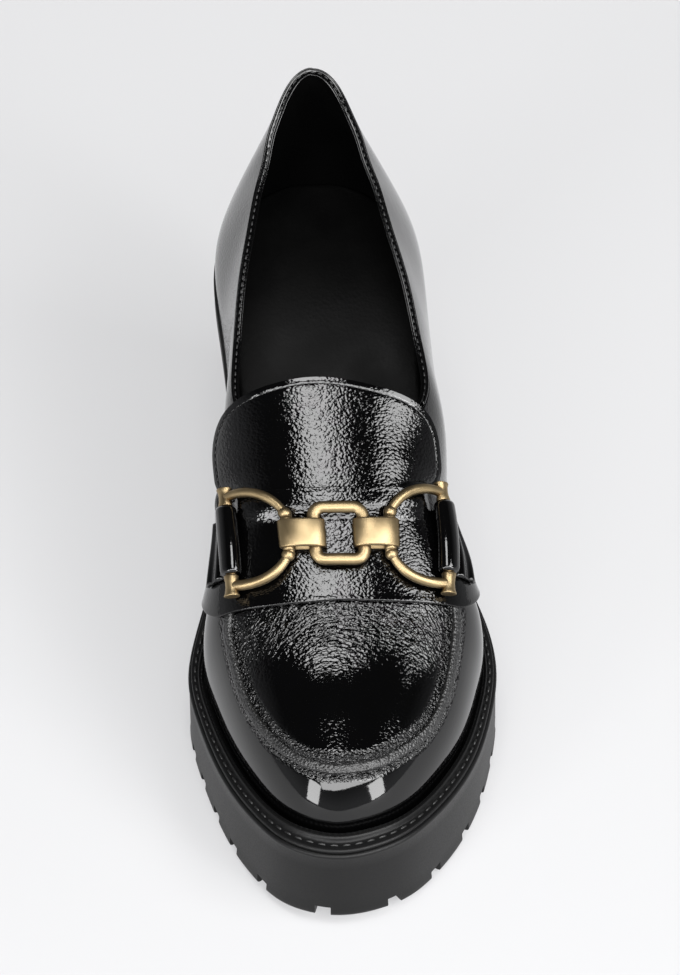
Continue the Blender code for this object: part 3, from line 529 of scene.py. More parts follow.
class Graph:
    """Short way to write a material's nodes."""

    def __init__(self, name):
        self.material = bpy.data.materials.new(name)
        self.material.use_nodes = True
        self.nodes = self.material.node_tree.nodes
        self.links = self.material.node_tree.links
        self.shader = self.nodes["Principled BSDF"]
        self.place = self.add("ShaderNodeTexCoord").outputs["Object"]

    def add(self, kind, inputs=None, **settings):
        node = self.nodes.new(kind)
        for name, value in settings.items():
            setattr(node, name, value)
        for name, value in (inputs or {}).items():
            self.feed(node.inputs[name], value)
        return node

    def feed(self, socket, value):
        if isinstance(value, bpy.types.NodeSocket):
            self.links.new(value, socket)
        else:
            socket.default_value = value

    def math(self, operation, first, second=0.0):
        return self.add("ShaderNodeMath", {0: first, 1: second}, operation=operation).outputs[0]

    def arched(self, squeeze, curve):
        """Coordinates squeezed and bent across the shoe, so that a noise runs in arcs over it."""
        split = self.add("ShaderNodeSeparateXYZ", {"Vector": self.place}).outputs
        bent = self.math("ADD", split["Y"], self.math("MULTIPLY", self.math("POWER", split["X"], 2.0), curve))
        across = self.math("MULTIPLY", split["X"], squeeze)
        return self.add("ShaderNodeCombineXYZ", {"X": across, "Y": bent, "Z": split["Z"]}).outputs[0]

    def stretched(self, place, stretch):
        return self.add("ShaderNodeMapping", {"Vector": place or self.place, "Scale": stretch}).outputs[0]

    def noise(self, scale, detail=2.0, roughness=0.5, stretch=(1.0, 1.0, 1.0), warp=0.0, place=None):
        values = {"Vector": self.stretched(place, stretch), "Scale": scale, "Detail": detail,
                  "Roughness": roughness, "Distortion": warp}
        return self.add("ShaderNodeTexNoise", values).outputs["Fac"]

    def cells(self, scale, wobble, wobble_scale=300.0, stretch=(1.0, 1.0, 1.0), place=None):
        """Distance from the middles of random cells, whose borders a noise makes uneven."""
        plain = self.stretched(place, stretch)
        drift = self.add("ShaderNodeTexNoise", {"Vector": self.place, "Scale": wobble_scale, "Detail": 1.0})
        scaled = self.add("ShaderNodeVectorMath", {0: drift.outputs["Color"], 1: (wobble,) * 3},
                          operation="MULTIPLY").outputs[0]
        uneven = self.add("ShaderNodeVectorMath", {0: plain, 1: scaled}, operation="ADD").outputs[0]
        return self.add("ShaderNodeTexVoronoi", {"Vector": uneven, "Scale": scale}).outputs["Distance"]

    def attribute(self, name):
        return self.add("ShaderNodeAttribute", attribute_name=name).outputs["Fac"]

    def ramp(self, value, low, high, to_low, to_high):
        values = {"Value": value, "From Min": low, "From Max": high, "To Min": to_low, "To Max": to_high}
        return self.add("ShaderNodeMapRange", values).outputs["Result"]

    def colour(self, factor, dark, light):
        node = self.add("ShaderNodeMix", {"Factor": factor}, data_type="RGBA")
        node.inputs["A"].default_value = (*dark, 1.0)
        node.inputs["B"].default_value = (*light, 1.0)
        return node.outputs["Result"]

    def relief(self, height, distance, below=None):
        node = self.add("ShaderNodeBump", {"Height": height, "Distance": distance, "Strength": 1.0})
        if below is not None:
            self.links.new(below, node.inputs["Normal"])
        return node.outputs["Normal"]

    def finish(self, **sockets):
        for name, value in sockets.items():
            self.feed(self.shader.inputs[name.replace("_", " ")], value)
        return self.material


def patent_leather():
    """Black lacquered leather; the mask grain says how strongly it is crinkled, flex where it wrinkles."""
    g = Graph("patent_leather")
    pebble = g.cells(1000.0, 0.0009, 700.0, stretch=(0.85, 1.1, 1.1))
    worm = g.noise(850.0, detail=1.5, stretch=(0.75, 1.25, 1.25), warp=1.2)
    fine = g.noise(2200.0, detail=1.0)
    crinkle = g.math("ADD", g.math("MULTIPLY", pebble, -1.3), g.math("MULTIPLY", worm, 0.7))
    crinkle = g.math("ADD", crinkle, g.math("MULTIPLY", fine, 0.1))
    crinkle = g.math("MULTIPLY", crinkle, g.attribute("grain"))
    ripple = g.noise(700.0, detail=1.0, warp=0.9, place=g.arched(0.32, 21.0))
    folds = g.cells(880.0, 0.0012, 500.0, place=g.arched(0.36, 21.0))
    flex = g.math("SUBTRACT", ripple, g.math("MULTIPLY", folds, 0.9))
    flex = g.math("MULTIPLY", flex, g.attribute("flex"))
    drape = g.noise(60.0, detail=1.0)
    normal = g.relief(drape, 0.0001)
    normal = g.relief(g.math("ADD", crinkle, flex), 0.00009, below=normal)
    cloud = g.noise(90.0, detail=3.0)
    tint = g.colour(cloud, (0.0005, 0.0005, 0.0005), (0.0009, 0.0009, 0.001))
    return g.finish(Base_Color=tint, Roughness=0.35, Normal=normal, Specular_IOR_Level=0.0, Coat_Weight=1.0,
                    Coat_Roughness=0.055, Coat_IOR=1.52, Coat_Normal=normal)


def rolled_leather():
    """Black leather turned over at the apron seam, duller than the lacquered face."""
    g = Graph("rolled_leather")
    pores = g.cells(1100.0, 0.0008)
    cloud = g.noise(160.0, detail=2.0)
    tint = g.colour(cloud, (0.003, 0.003, 0.003), (0.006, 0.006, 0.006))
    normal = g.relief(pores, -0.0003)
    return g.finish(Base_Color=tint, Roughness=0.45, Normal=normal, Coat_Weight=0.35, Coat_Roughness=0.25,
                    Coat_Normal=normal)


def lining_leather():
    g = Graph("lining_leather")
    pores = g.cells(900.0, 0.001)
    cloud = g.noise(70.0, detail=3.0)
    height = g.math("ADD", g.math("MULTIPLY", pores, 0.4), g.math("MULTIPLY", cloud, 0.8))
    tint = g.colour(cloud, (0.0012, 0.0012, 0.0013), (0.0022, 0.0022, 0.0021))
    return g.finish(Base_Color=tint, Roughness=g.ramp(cloud, 0.3, 0.7, 0.36, 0.5),
                    Specular_IOR_Level=0.06, Normal=g.relief(height, 0.00008))


def sole_rubber():
    g = Graph("sole_rubber")
    cloud = g.noise(45.0, detail=4.0)
    speck = g.noise(2200.0, detail=1.0)
    height = g.math("ADD", g.math("MULTIPLY", speck, 0.3), cloud)
    tint = g.colour(cloud, (0.0024, 0.0024, 0.0025), (0.004, 0.004, 0.0041))
    return g.finish(Base_Color=tint, Roughness=g.ramp(speck, 0.3, 0.7, 0.42, 0.52),
                    Specular_IOR_Level=0.27, Normal=g.relief(height, 0.00005))


def antique_brass():
    g = Graph("antique_brass")
    hollow = g.add("ShaderNodeAmbientOcclusion", {"Distance": 0.004}, samples=8).outputs["AO"]
    patina = g.noise(160.0, detail=4.0, roughness=0.6)
    dark = g.math("MULTIPLY", g.ramp(hollow, 0.35, 0.95, 0.0, 1.0), g.ramp(patina, 0.25, 0.6, 0.75, 1.0))
    tint = g.colour(dark, (0.09, 0.056, 0.026), (0.32, 0.242, 0.134))
    brushed = g.noise(1400.0, detail=2.0, stretch=(0.15, 1.0, 1.0))
    return g.finish(Base_Color=tint, Metallic=1.0, Roughness=g.ramp(patina, 0.3, 0.7, 0.36, 0.46),
                    Normal=g.relief(brushed, 0.00001))


def thread():
    g = Graph("thread")
    twist = g.noise(3000.0, detail=1.0, stretch=(1.0, 0.3, 1.0))
    tint = g.colour(twist, (0.004, 0.004, 0.004), (0.012, 0.012, 0.012))
    return g.finish(Base_Color=tint, Roughness=0.45, Normal=g.relief(twist, 0.0001))


LEATHER = patent_leather()
ROLL_LEATHER = rolled_leather()
LINING = lining_leather()
RUBBER = sole_rubber()
BRASS = antique_brass()
THREAD = thread()


# Mesh helpers


def link(name, mesh, material, replaced=()):
    """Put a mesh in the scene as a piece of the shoe, in place of the named solids."""
    mesh.materials.clear()
    mesh.materials.append(material)
    mesh.shade_smooth()
    piece = bpy.data.objects.new(name, mesh)
    bpy.context.scene.collection.objects.link(piece)
    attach(piece, "root")
    if replaced:
        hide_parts(*replaced)
    return piece


def set_mask(mesh, name, values):
    layer = mesh.attributes.new(name, "FLOAT", "POINT")
    layer.data.foreach_set("value", np.broadcast_to(values, (len(mesh.vertices),)).astype(np.float32).copy())


def quad_indices(rows, cols, around, across):
    """Corner indices of the quads over a grid, closed or open along its rows and columns."""
    i = np.arange(rows if around else rows - 1)[:, None]
    j = np.arange(cols if across else cols - 1)[None, :]
    near = i * cols
    far = (i + 1) % rows * cols
    step = (j + 1) % cols
    return np.stack([near + j, far + j, far + step, near + step], axis=-1).reshape(-1, 4)


def grid_mesh(name, grid, around=False, across=False, caps=False, grain=1.0):
    """Mesh over a grid of points in shoe millimetres; a loft has its rings closed across and capped."""
    rows, cols = grid.shape[:2]
    faces = quad_indices(rows, cols, around, across).tolist()
    if caps:
        faces += [list(range(cols)), [(rows - 1) * cols + j for j in range(cols)]]
    mesh = bpy.data.meshes.new(name)
    mesh.from_pydata(to_world(grid.reshape(-1, 3)), [], faces)
    set_mask(mesh, "grain", np.asarray(grain, float).reshape(-1))
    return mesh


def face_outward(mesh):
    bm = bmesh.new()
    bm.from_mesh(mesh)
    bmesh.ops.remove_doubles(bm, verts=bm.verts, dist=JOIN_DISTANCE * MM)
    bmesh.ops.recalc_face_normals(bm, faces=bm.faces)
    bm.to_mesh(mesh)
    bm.free()
    return mesh


def add_modifier(piece, kind, **settings):
    modifier = piece.modifiers.new(kind.lower(), kind)
    for name, value in settings.items():
        setattr(modifier, name, value)


def round_edges(piece, width, sharpest):
    add_modifier(piece, "BEVEL", width=width * MM, segments=3, limit_method="ANGLE",
                 angle_limit=math.radians(sharpest))


def add_wall(piece, thickness, edge):
    """Give a sheet its thickness and a rounded rim."""
    add_modifier(piece, "WELD", merge_threshold=WELD_DISTANCE * MM)
    add_modifier(piece, "SOLIDIFY", thickness=thickness * MM, offset=1.0)
    round_edges(piece, edge, 50.0)


def unit(vectors):
    return vectors / np.maximum(np.linalg.norm(vectors, axis=-1), 1e-9)[..., None]


def arc_length(points):
    steps = np.linalg.norm(np.diff(points, axis=0), axis=1)
    return np.concatenate([[0.0], np.cumsum(steps)])


def read_line(where, travel, points):
    """Points of a line at distances along it."""
    return np.stack([np.interp(where, travel, values) for values in points.T], axis=1)


def resample(points, spacing):
    """Points evenly spaced along a line."""
    travel = arc_length(points)
    where = np.linspace(0.0, travel[-1], max(2, int(round(travel[-1] / spacing)) + 1))
    return read_line(where, travel, points)


def sweep_grid(line, side, up, section):
    """Rings of a section, given as side and up offsets, along a line with a side and an up direction."""
    section = np.asarray(section, float)
    return line[:, None] + side[:, None] * section[None, :, :1] + up[:, None] * section[None, :, 1:2]


def circle(radius, count=16):
    turns = np.linspace(0.0, 2.0 * math.pi, count, endpoint=False)
    return np.stack([radius * np.cos(turns), radius * np.sin(turns)], axis=1)


def oval(power, count):
    """Points of a closed curve between a square and a circle, both halves 1 long."""
    turns = np.linspace(0.0, 2.0 * math.pi, count, endpoint=False)
    across = np.sign(np.cos(turns)) * np.abs(np.cos(turns)) ** (2.0 / power)
    height = np.sign(np.sin(turns)) * np.abs(np.sin(turns)) ** (2.0 / power)
    return across, height


def add_loft(name, grid, material, grain, replaced=()):
    """Link a piece made of closed rings with both ends capped."""
    mesh = grid_mesh(name, grid, across=True, caps=True, grain=grain)
    return link(name, face_outward(mesh), material, replaced)


def stitch_row(name, line, normals, pitch, length, radius):
    """Row of short threads laid along a line, each a capsule that dips into the leather at both ends."""
    travel = arc_length(line)
    starts = np.arange(pitch / 2.0, travel[-1] - length, pitch)
    shares = np.linspace(0.0, 1.0, 7)
    rings = []
    faces = []
    sides = 8
    for start in starts:
        where = start + shares * length
        centre = read_line(where, travel, line)
        normal = unit(read_line(where, travel, normals))
        tangent = unit(np.gradient(centre, axis=0))
        across = unit(np.cross(tangent, normal))
        swell = np.sqrt(np.maximum(1.0 - (2.0 * shares - 1.0) ** 4, 0.02))
        sink = radius * (0.3 - np.abs(2.0 * shares - 1.0) ** 3)
        centre = centre + normal * sink[:, None]
        thick = (radius * swell)[:, None]
        points = sweep_grid(centre, across * thick, normal * thick, circle(1.0, sides))
        base = sum(len(part) for part in rings)
        rings.append(points.reshape(-1, 3))
        quads = quad_indices(len(shares), sides, False, True) + base
        last = base + (len(shares) - 1) * sides
        faces += quads.tolist() + [list(range(base, base + sides)), list(range(last, last + sides))]
    mesh = bpy.data.meshes.new(name)
    mesh.from_pydata(to_world(np.concatenate(rings)), [], faces)
    link(name, face_outward(mesh), THREAD)


# Upper


def outline_places(spacing):
    """Places along the outline, about evenly spaced from the toe to the heel and the same on both sides."""
    points = FEATHER.sides[1]
    travel = arc_length(points)
    count = int(round(travel[-1] / spacing)) + 1
    return np.interp(np.linspace(0.0, travel[-1], count), travel, points[:, 1])


def rim_share(points):
    """Share at which a rib's points cross the topline, or 1 where the upper is closed over the ridge."""
    over = points[:, 2] - topline_z(points[:, 1])
    if points[-1, 1] <= THROAT or over.max() <= 0.0:
        return 1.0
    first = int(np.argmax(over > 0.0))
    return np.interp(0.0, over[first - 1:first + 1], FINE_SHARES[first - 1:first + 1])


# Rows of the upper's grid: 0 lower edge, 1 and 3 either side of the seam, 2 seam, 4 upper edge
PLAIN_ROW_SHARE = 0.55
ROW_PARTS = np.concatenate([np.linspace(0.0, 1.0, 15)[:-1], np.linspace(1.0, 2.0, 15)[:-1],
                            np.linspace(2.0, 3.0, 15)[:-1], np.linspace(3.0, 4.0, 27)])


def upper_side(places, side):
    """Points of the outer face on one side, distance of each from the apron seam, and the seam's fade."""
    fine = rib_points(places, side, FINE_SHARES)
    shares = []
    from_seam = []
    fades = []
    for place, points in zip(places, fine):
        travel = arc_length(points)
        top = rim_share(points)
        spread = np.linalg.norm(points[:, :2] - points[-1, :2], axis=1)
        widest = int(np.argmax(spread))
        seam = np.interp(seam_reach[side](place) * spread[0], spread[:widest:-1], FINE_SHARES[:widest:-1])
        seam_at = np.interp(seam, FINE_SHARES, travel)
        plain = float(smooth_step(*SEAM_FADE, place))
        middle = seam + (PLAIN_ROW_SHARE * top - seam) * plain
        middle_at = np.interp(middle, FINE_SHARES, travel)
        low, high = np.interp([middle_at - SEAM_WINDOW, middle_at + SEAM_WINDOW], travel, FINE_SHARES)
        row = np.interp(ROW_PARTS, range(5), [0.0, low, middle, min(high, (middle + top) / 2.0), top])
        shares.append(row)
        from_seam.append(np.interp(row, FINE_SHARES, travel) - seam_at)
        fades.append(1.0 - plain)
    return rib_points(places, side, np.array(shares)), np.array(from_seam), np.array(fades)


def seam_relief(from_seam, travel, fade):
    """Leather gathered into the apron seam on both sides, the plug in longer puckers than the wall."""
    away = np.abs(from_seam)
    reach = np.where(from_seam > 0.0, PUCKER_REACH["plug"], PUCKER_REACH["wall"])
    band = smooth_step(1.0, 1.9, away) * (1.0 - smooth_step(reach - 2.2, reach, away))
    # an uneven pitch, so that the puckers do not repeat
    wander = travel + 0.5 * np.sin(travel * 0.71) + 0.35 * np.sin(travel * 1.93 + 1.0) + 0.12 * from_seam
    gather = np.cos(2.0 * math.pi * wander / PUCKER_PITCH) + 0.5 * np.cos(2.0 * math.pi * wander / 4.1 + 0.6)
    return (PUCKER_HEIGHT * gather * band - SEAM_GROOVE * bump(away, 1.5, 0.5)) * fade


# Height of the vamp plug over the last, from its front edge to the saddle
PlugRow = namedtuple("PlugRow", "along height")
PLUG = [PlugRow(*row) for row in (
    (24.0, 3.0),
    (30.0, 1.4),
    (36.0, 0.5),
    (45.0, -0.5),
    (62.0, -0.9),
    (70.0, -0.5),
    (76.0, 0.0),
)]
plug_height = column(PLUG, "height")

# Strength of the leather's grain, and where along the shoe it is weaker or wrinkles across
WALL_GRAIN = 0.03
QUARTER_GRAIN = 0.45
QUARTER_START = (70.0, 120.0)
PINCH_GRAIN = 5.5
PINCH_REACH = {"plug": 5.6, "wall": 4.6}
CALM_SHARE = 0.85
CALM_PLACE = (42.0, 16.0)
FLEX_GRAIN = 3.2
FLEX_PLACE = (65.0, 9.0)


def make_upper():
    """Build the upper and the roll on its seam; return its outer points and the place of each rib."""
    places = outline_places(1.0)
    halves = {side: upper_side(places, side) for side in (1, -1)}
    loop = [(halves[1][i], halves[-1][i][-2:0:-1]) for i in range(3)]
    points, from_seam, fade = (np.concatenate(pair) for pair in loop)
    fade = fade[:, None]
    spots = np.concatenate([places, places[-2:0:-1]])
    around = np.roll(points, -1, axis=0) - np.roll(points, 1, axis=0)
    normals = unit(np.cross(around, np.gradient(points, axis=1)))
    normals[:, -1] = normals[:, -2]
    seam_column = int(np.searchsorted(ROW_PARTS, 2.0))
    travel = arc_length(points[:, seam_column])[:, None]
    plug = smooth_step(1.4, 3.0, from_seam) * fade
    inside = smooth_step(0.0, 3.0, from_seam) * fade
    height = seam_relief(from_seam, travel, fade) + plug_height(points[..., 1]) * inside
    seam_line = points[:, seam_column]
    seam_lean = normals[:, seam_column]
    points = points + normals * height[..., None]
    wall = WALL_GRAIN + QUARTER_GRAIN * smooth_step(*QUARTER_START, spots)[:, None] * (1.0 - fade)
    away = np.abs(from_seam)
    reach = np.where(from_seam > 0.0, PINCH_REACH["plug"], PINCH_REACH["wall"])
    pinch = smooth_step(1.0, 1.8, away) * (1.0 - smooth_step(reach - 2.0, reach, away)) * fade
    calm = 1.0 - CALM_SHARE * bump(points[..., 1], *CALM_PLACE)
    grain = np.maximum(plug * calm, wall) + PINCH_GRAIN * pinch
    flex = FLEX_GRAIN * inside * bump(points[..., 1], *FLEX_PLACE)
    mesh = grid_mesh("upper_leather", points, around=True, grain=grain)
    set_mask(mesh, "flex", flex.reshape(-1))
    piece = link("upper_leather", mesh, LEATHER, ["upper"])
    piece.data.materials.append(LINING)
    add_modifier(piece, "WELD", merge_threshold=WELD_DISTANCE * MM)
    add_modifier(piece, "SOLIDIFY", thickness=UPPER_WALL * MM, offset=-1.0, material_offset=1)
    order = seam_order(fade[:, 0])
    add_apron_roll(seam_line[order], seam_lean[order])
    return points, spots


def seam_order(fade):
    """Ribs along the apron seam, from its medial end round the toe to its lateral end."""
    live = np.flatnonzero(fade > 0.02)
    return np.concatenate([live[live > len(fade) // 2], live[live <= len(fade) // 2]])


def add_apron_roll(line, lean):
    """Rolled edge that covers the apron seam, flat on top."""
    across, height = oval(3.2, 20)
    section = np.stack([SEAM_HALF_WIDTH * across, SEAM_HEIGHT * height], axis=1)
    travel = arc_length(line)
    where = np.linspace(0.0, travel[-1], int(travel[-1] / 0.5))
    line = read_line(where, travel, line)
    lean = unit(read_line(where, travel, lean))
    side = unit(np.cross(np.gradient(line, axis=0), lean))
    add_loft("apron_roll", sweep_grid(line, side, lean, section), ROLL_LEATHER, 0.25)


# Section of the collar's binding: outwards and up from the middle of the upper's rim
COLLAR_SECTION = [(1.10, -0.75), (1.22, -0.25), (1.20, 0.20), (1.05, 0.46), (0.85, 0.50), (0.66, 0.36),
                  (0.55, 0.10), (0.30, 0.0), (-0.70, 0.0), (-0.92, 0.10), (-1.05, 0.38), (-1.25, 0.52),
                  (-1.48, 0.46), (-1.62, 0.20), (-1.62, -0.25), (-1.40, -0.75)]


def make_collar(points, spots):
    """Binding on the rim of the topline: an outer and an inner bead with a stitched band between."""
    back = spots > BINDING_START
    top = points[back, -1]
    rise = unit(top - points[back, -4])
    outward = unit(np.cross(np.gradient(top, axis=0), rise))
    line = top - outward * UPPER_WALL / 2.0 + rise * (GAP + COLLAR_LIFT)
    grid = sweep_grid(line, outward, rise, COLLAR_SECTION)
    piece = add_loft("collar_roll", grid, LEATHER, 0.1, ["collar_binding"])
    add_modifier(piece, "SUBSURF", levels=1, render_levels=1)
    stitch_row("collar_thread", line - outward * COLLAR_THREAD_INSET, rise, *COLLAR_STITCH)


# Tongue and saddle


def edge_distance(along, arc, border):
    """Distance of sheet points from a border line, both laid flat."""
    flat = np.stack([along.ravel(), arc.ravel()], axis=1)
    best = np.full(len(flat), 1e9)
    for corner in border:
        best = np.minimum(best, np.hypot(flat[:, 0] - corner[0], flat[:, 1] - corner[1]))
    return best.reshape(along.shape)


def tongue_border():
    """Top outline of the tongue as along and arc, from its medial front end to the lateral one."""
    half = np.array([(row.along, row.half_arc) for row in TONGUE])
    corners = np.concatenate([half * (1.0, -1.0), half[::-1]])
    travel = arc_length(corners)
    where = np.linspace(0.0, travel[-1], 361)
    return np.stack([natural_spline(travel, corners[:, k])(where) for k in (0, 1)], axis=1)


def tongue_height(along, arc):
    widest = max(row.half_arc for row in TONGUE)
    spring = TONGUE_FLARE * smooth_step(*TONGUE_FLARE_START, along) * np.abs(arc / widest) ** 3
    return TONGUE_LIFT + spring


def make_tongue():
    border = tongue_border()
    shares = np.linspace(-1.0, 1.0, len(border))
    foot = np.stack([np.full(len(border), TONGUE[0].along), shares * TONGUE[0].half_arc * 0.98], axis=1)
    rows = np.sin(np.linspace(0.0, math.pi / 2.0, 64))
    flat = foot[None] + (border - foot)[None] * rows[:, None, None]
    along = flat[..., 0]
    arc = flat[..., 1]
    inward = edge_distance(along, arc, border)
    rim = TONGUE_RIM * (1.0 - smooth_step(0.9, 1.5, inward)) - TONGUE_GROOVE * bump(inward, 1.9, 0.35)
    grid = SHEET.at(along, arc, tongue_height(along, arc) + rim)
    grain = TONGUE_RIM_GRAIN + TONGUE_MORE_GRAIN * smooth_step(1.2, 2.6, inward)
    mesh = grid_mesh("tongue_leather", grid[:, ::-1], grain=grain[:, ::-1])
    piece = link("tongue_leather", mesh, LEATHER, ["tongue"])
    piece.data.materials.append(LINING)
    add_wall(piece, TONGUE_THICKNESS, TONGUE_EDGE)
    tangent = unit(np.gradient(border, axis=0))
    seam = border - np.stack([tangent[:, 1], -tangent[:, 0]], axis=1) * TONGUE_SEAM_INSET
    seam = resample(seam[border[:, 0] > TONGUE_SEAM_START], 0.4)
    height = tongue_height(seam[:, 0], seam[:, 1]) + TONGUE_THICKNESS - 0.1
    line = SHEET.at(seam[:, 0], seam[:, 1], height)
    lean = unit(SHEET.at(seam[:, 0], seam[:, 1], height + 1.0) - line)
    stitch_row("tongue_thread", line, lean, *TONGUE_STITCH)


def saddle_underside(along, arc):
    """Height of the saddle over the last: it climbs over the front end of the tongue."""
    rise = smooth_step(*SADDLE_RISE, along) * (1.0 - smooth_step(*SADDLE_RISE_ARC, np.abs(arc)))
    return SADDLE_LIFT + (TONGUE_LIFT + TONGUE_THICKNESS + GAP - SADDLE_LIFT) * rise


def saddle_sweep(along, side):
    """How far the saddle's side runs back of its middle; its rear edge less on the lateral side."""
    back = (along - SADDLE_FRONT) / (SADDLE_BACK - SADDLE_FRONT)
    return SADDLE_SWEEP * (1.0 - SADDLE_TAPER[side] * back)


def make_saddle():
    places = np.linspace(SADDLE_FRONT, SADDLE_BACK, 61)
    shares = np.linspace(0.0, 1.0, 121)
    rows = []
    arcs = []
    for along in places:
        lateral = shares * (SHEET.side_length(along + saddle_sweep(along, 1), 1) - SADDLE_SKIRT)
        medial = shares * (SHEET.side_length(along + saddle_sweep(along, -1), -1) - SADDLE_SKIRT)
        arc = np.concatenate([lateral[::-1], -medial[1:]])
        edge = min(along - SADDLE_FRONT, SADDLE_BACK - along)
        rim = SADDLE_RIM * (1.0 - smooth_step(0.8, 1.4, edge))
        sweep = np.where(arc > 0.0, saddle_sweep(along, 1), saddle_sweep(along, -1))
        swept = along + sweep * smooth_step(*SADDLE_SWEEP_ARC, np.abs(arc))
        rows.append(SHEET.at(swept, arc, saddle_underside(along, arc) + rim))
        arcs.append(arc)
    grain = SADDLE_GRAIN - SADDLE_LESS_GRAIN * smooth_step(*SADDLE_LESS_GRAIN_ARC, np.abs(np.array(arcs)))
    mesh = grid_mesh("saddle_leather", np.array(rows), grain=grain)
    piece = link("saddle_leather", mesh, LEATHER, ["saddle"])
    add_wall(piece, SADDLE_THICKNESS, SADDLE_EDGE)


# Ornament and keepers


def on_saddle(points):
    """Carry points given as across, up the slope and height over the bit's plane onto the vamp."""
    points = np.asarray(points, float)
    across = BIT_ACROSS + points[..., 0] + BIT_TURN * points[..., 1]
    up = points[..., 1] - BIT_TURN * points[..., 0]
    height = BIT_HEIGHT + BIT_TILT * up + points[..., 2]
    return SHEET.at(BIT_CENTRE + up * math.cos(BIT_SLOPE), across, height)


def tube(line, radii, closed, count=20, flat=1.0):
    """Rings of a round wire along a flat line of across and up, as points over the bit's plane."""
    ahead = np.roll(line, -1, axis=0) - np.roll(line, 1, axis=0) if closed else np.gradient(line, axis=0)
    ahead = unit(ahead)
    side = np.stack([-ahead[:, 1], ahead[:, 0]], axis=1)
    ring = circle(1.0, count)
    grid = np.zeros((len(line), count, 3))
    grid[..., :2] = line[:, None] + side[:, None] * (ring[None, :, :1] * np.asarray(radii)[:, None, None])
    grid[..., 2] = ring[None, :, 1] * np.asarray(radii)[:, None] * flat
    return grid


def brass_piece(name, grids, around, replaced):
    """Join wires and knobs, closed or open along their rings, into one brass piece."""
    bm = bmesh.new()
    for grid in grids:
        part = grid_mesh(name, on_saddle(grid), around=around, across=True, caps=not around, grain=0.0)
        bm.from_mesh(part)
        bpy.data.meshes.remove(part)
    mesh = bpy.data.meshes.new(name)
    bm.to_mesh(mesh)
    bm.free()
    link(name, face_outward(mesh), BRASS, replaced)


def turned(x, up, direction, profile, count=24):
    """Rings of a turned knob: its axis runs up the slope from a point, profile rows are travel and radius."""
    ring = circle(1.0, count)
    rings = []
    for travel, radius in profile:
        rings.append([(x + radius * c, up + direction * travel, radius * s) for c, s in ring])
    return np.array(rings)


# Turned end caps and necks of the half rings: travel along the axis and radius
RING_CAP = [(-3.3, 1.75), (-3.2, 2.0), (-2.9, 2.15), (-1.2, 1.85), (0.6, 1.8), (2.2, 2.0), (3.0, 2.35),
            (3.25, 2.3), (3.3, 2.0)]
RING_NECK = [(-3.4, 1.5), (-3.3, 1.75), (-2.6, 1.95), (-1.8, 1.9), (-1.2, 1.6)]


def bar(across, half_length, radius):
    """Straight wire up the slope."""
    line = np.stack([np.full(9, across), np.linspace(-half_length, half_length, 9)], axis=1)
    return tube(line, np.full(9, radius), False)


def make_ring(name, side):
    start = np.array([RING_BAR - RING_ARM_START, RING_CAP_UP])
    bend = np.array([RING_INNER_BAR + RING_ARM_BEND[0], RING_CAP_UP + RING_ARM_BEND[1]])
    end = np.array([RING_INNER_BAR + RING_ARM_END, RING_BALL_UP])
    share = np.linspace(0.0, 1.0, 40)[:, None]
    arm = (1.0 - share) ** 2 * start + 2.0 * share * (1.0 - share) * bend + share ** 2 * end
    arm_radius = RING_WIRE_RADIUS * (1.0 - RING_ARM_TAPER * smooth_step(0.6, 1.0, share[:, 0]))
    turns = np.linspace(-math.pi / 2.0, math.pi / 2.0, 13)
    ball = [(RING_BALL_RADIUS * math.sin(t), RING_BALL_RADIUS * max(math.cos(t), 0.02)) for t in turns]
    grids = []
    for turn in (1.0, -1.0):
        grids.append(tube(arm * (side, turn), arm_radius, False))
        grids.append(turned(side * RING_BAR, turn * RING_CAP_UP, turn, RING_CAP))
        grids.append(turned(side * (RING_INNER_BAR + RING_ARM_END), turn * RING_BALL_UP, turn, ball))
        grids.append(turned(side * (RING_INNER_BAR + RING_NECK_OUT), turn * RING_BALL_UP, turn, RING_NECK))
    grids.append(bar(side * RING_BAR, RING_CAP_UP, RING_BAR_RADIUS))
    grids.append(bar(side * RING_INNER_BAR, RING_BALL_UP, RING_INNER_RADIUS))
    brass_piece("brass_" + name, grids, False, [name])


def make_link_band(name, side):
    """Flattened loop that ties a half ring to the middle ring, with softened rims."""
    across, height = oval(BAND_POWER, 96)
    half = BAND_HALF_WIDTH
    section = [(0.0, -half + 0.6), (0.0, half - 0.6), (0.18, half - 0.2), (0.5, half),
               (BAND_WALL - 0.2, half), (BAND_WALL, half - 0.2), (BAND_WALL, -half + 0.2),
               (BAND_WALL - 0.2, -half), (0.5, -half), (0.18, -half + 0.2)]
    grid = np.zeros((len(across), len(section), 3))
    for j, (inset, up) in enumerate(section):
        grid[:, j, 0] = side * BAND_CENTRE + across * (BAND_HALF_LENGTH - inset)
        grid[:, j, 1] = up
        grid[:, j, 2] = height * (BAND_HALF_HEIGHT - inset)
    brass_piece("brass_" + name, [grid], True, [name])


def make_link_square():
    path = []
    for quarter in range(4):
        sign_x = 1 if quarter in (0, 3) else -1
        sign_y = 1 if quarter in (0, 1) else -1
        for step in range(13):
            turn = math.pi / 2.0 * (quarter + step / 12.0)
            path.append((sign_x * (SQUARE_HALF_ACROSS - SQUARE_CORNER) + SQUARE_CORNER * math.cos(turn),
                         sign_y * (SQUARE_HALF_UP - SQUARE_CORNER) + SQUARE_CORNER * math.sin(turn)))
    path = np.array(path + path[:1])
    path = resample(path, 0.8)[:-1]
    grid = tube(path, np.full(len(path), SQUARE_WIRE_RADIUS), True, 24, SQUARE_FLATNESS)
    brass_piece("brass_link_square", [grid], True, ["link_square"])


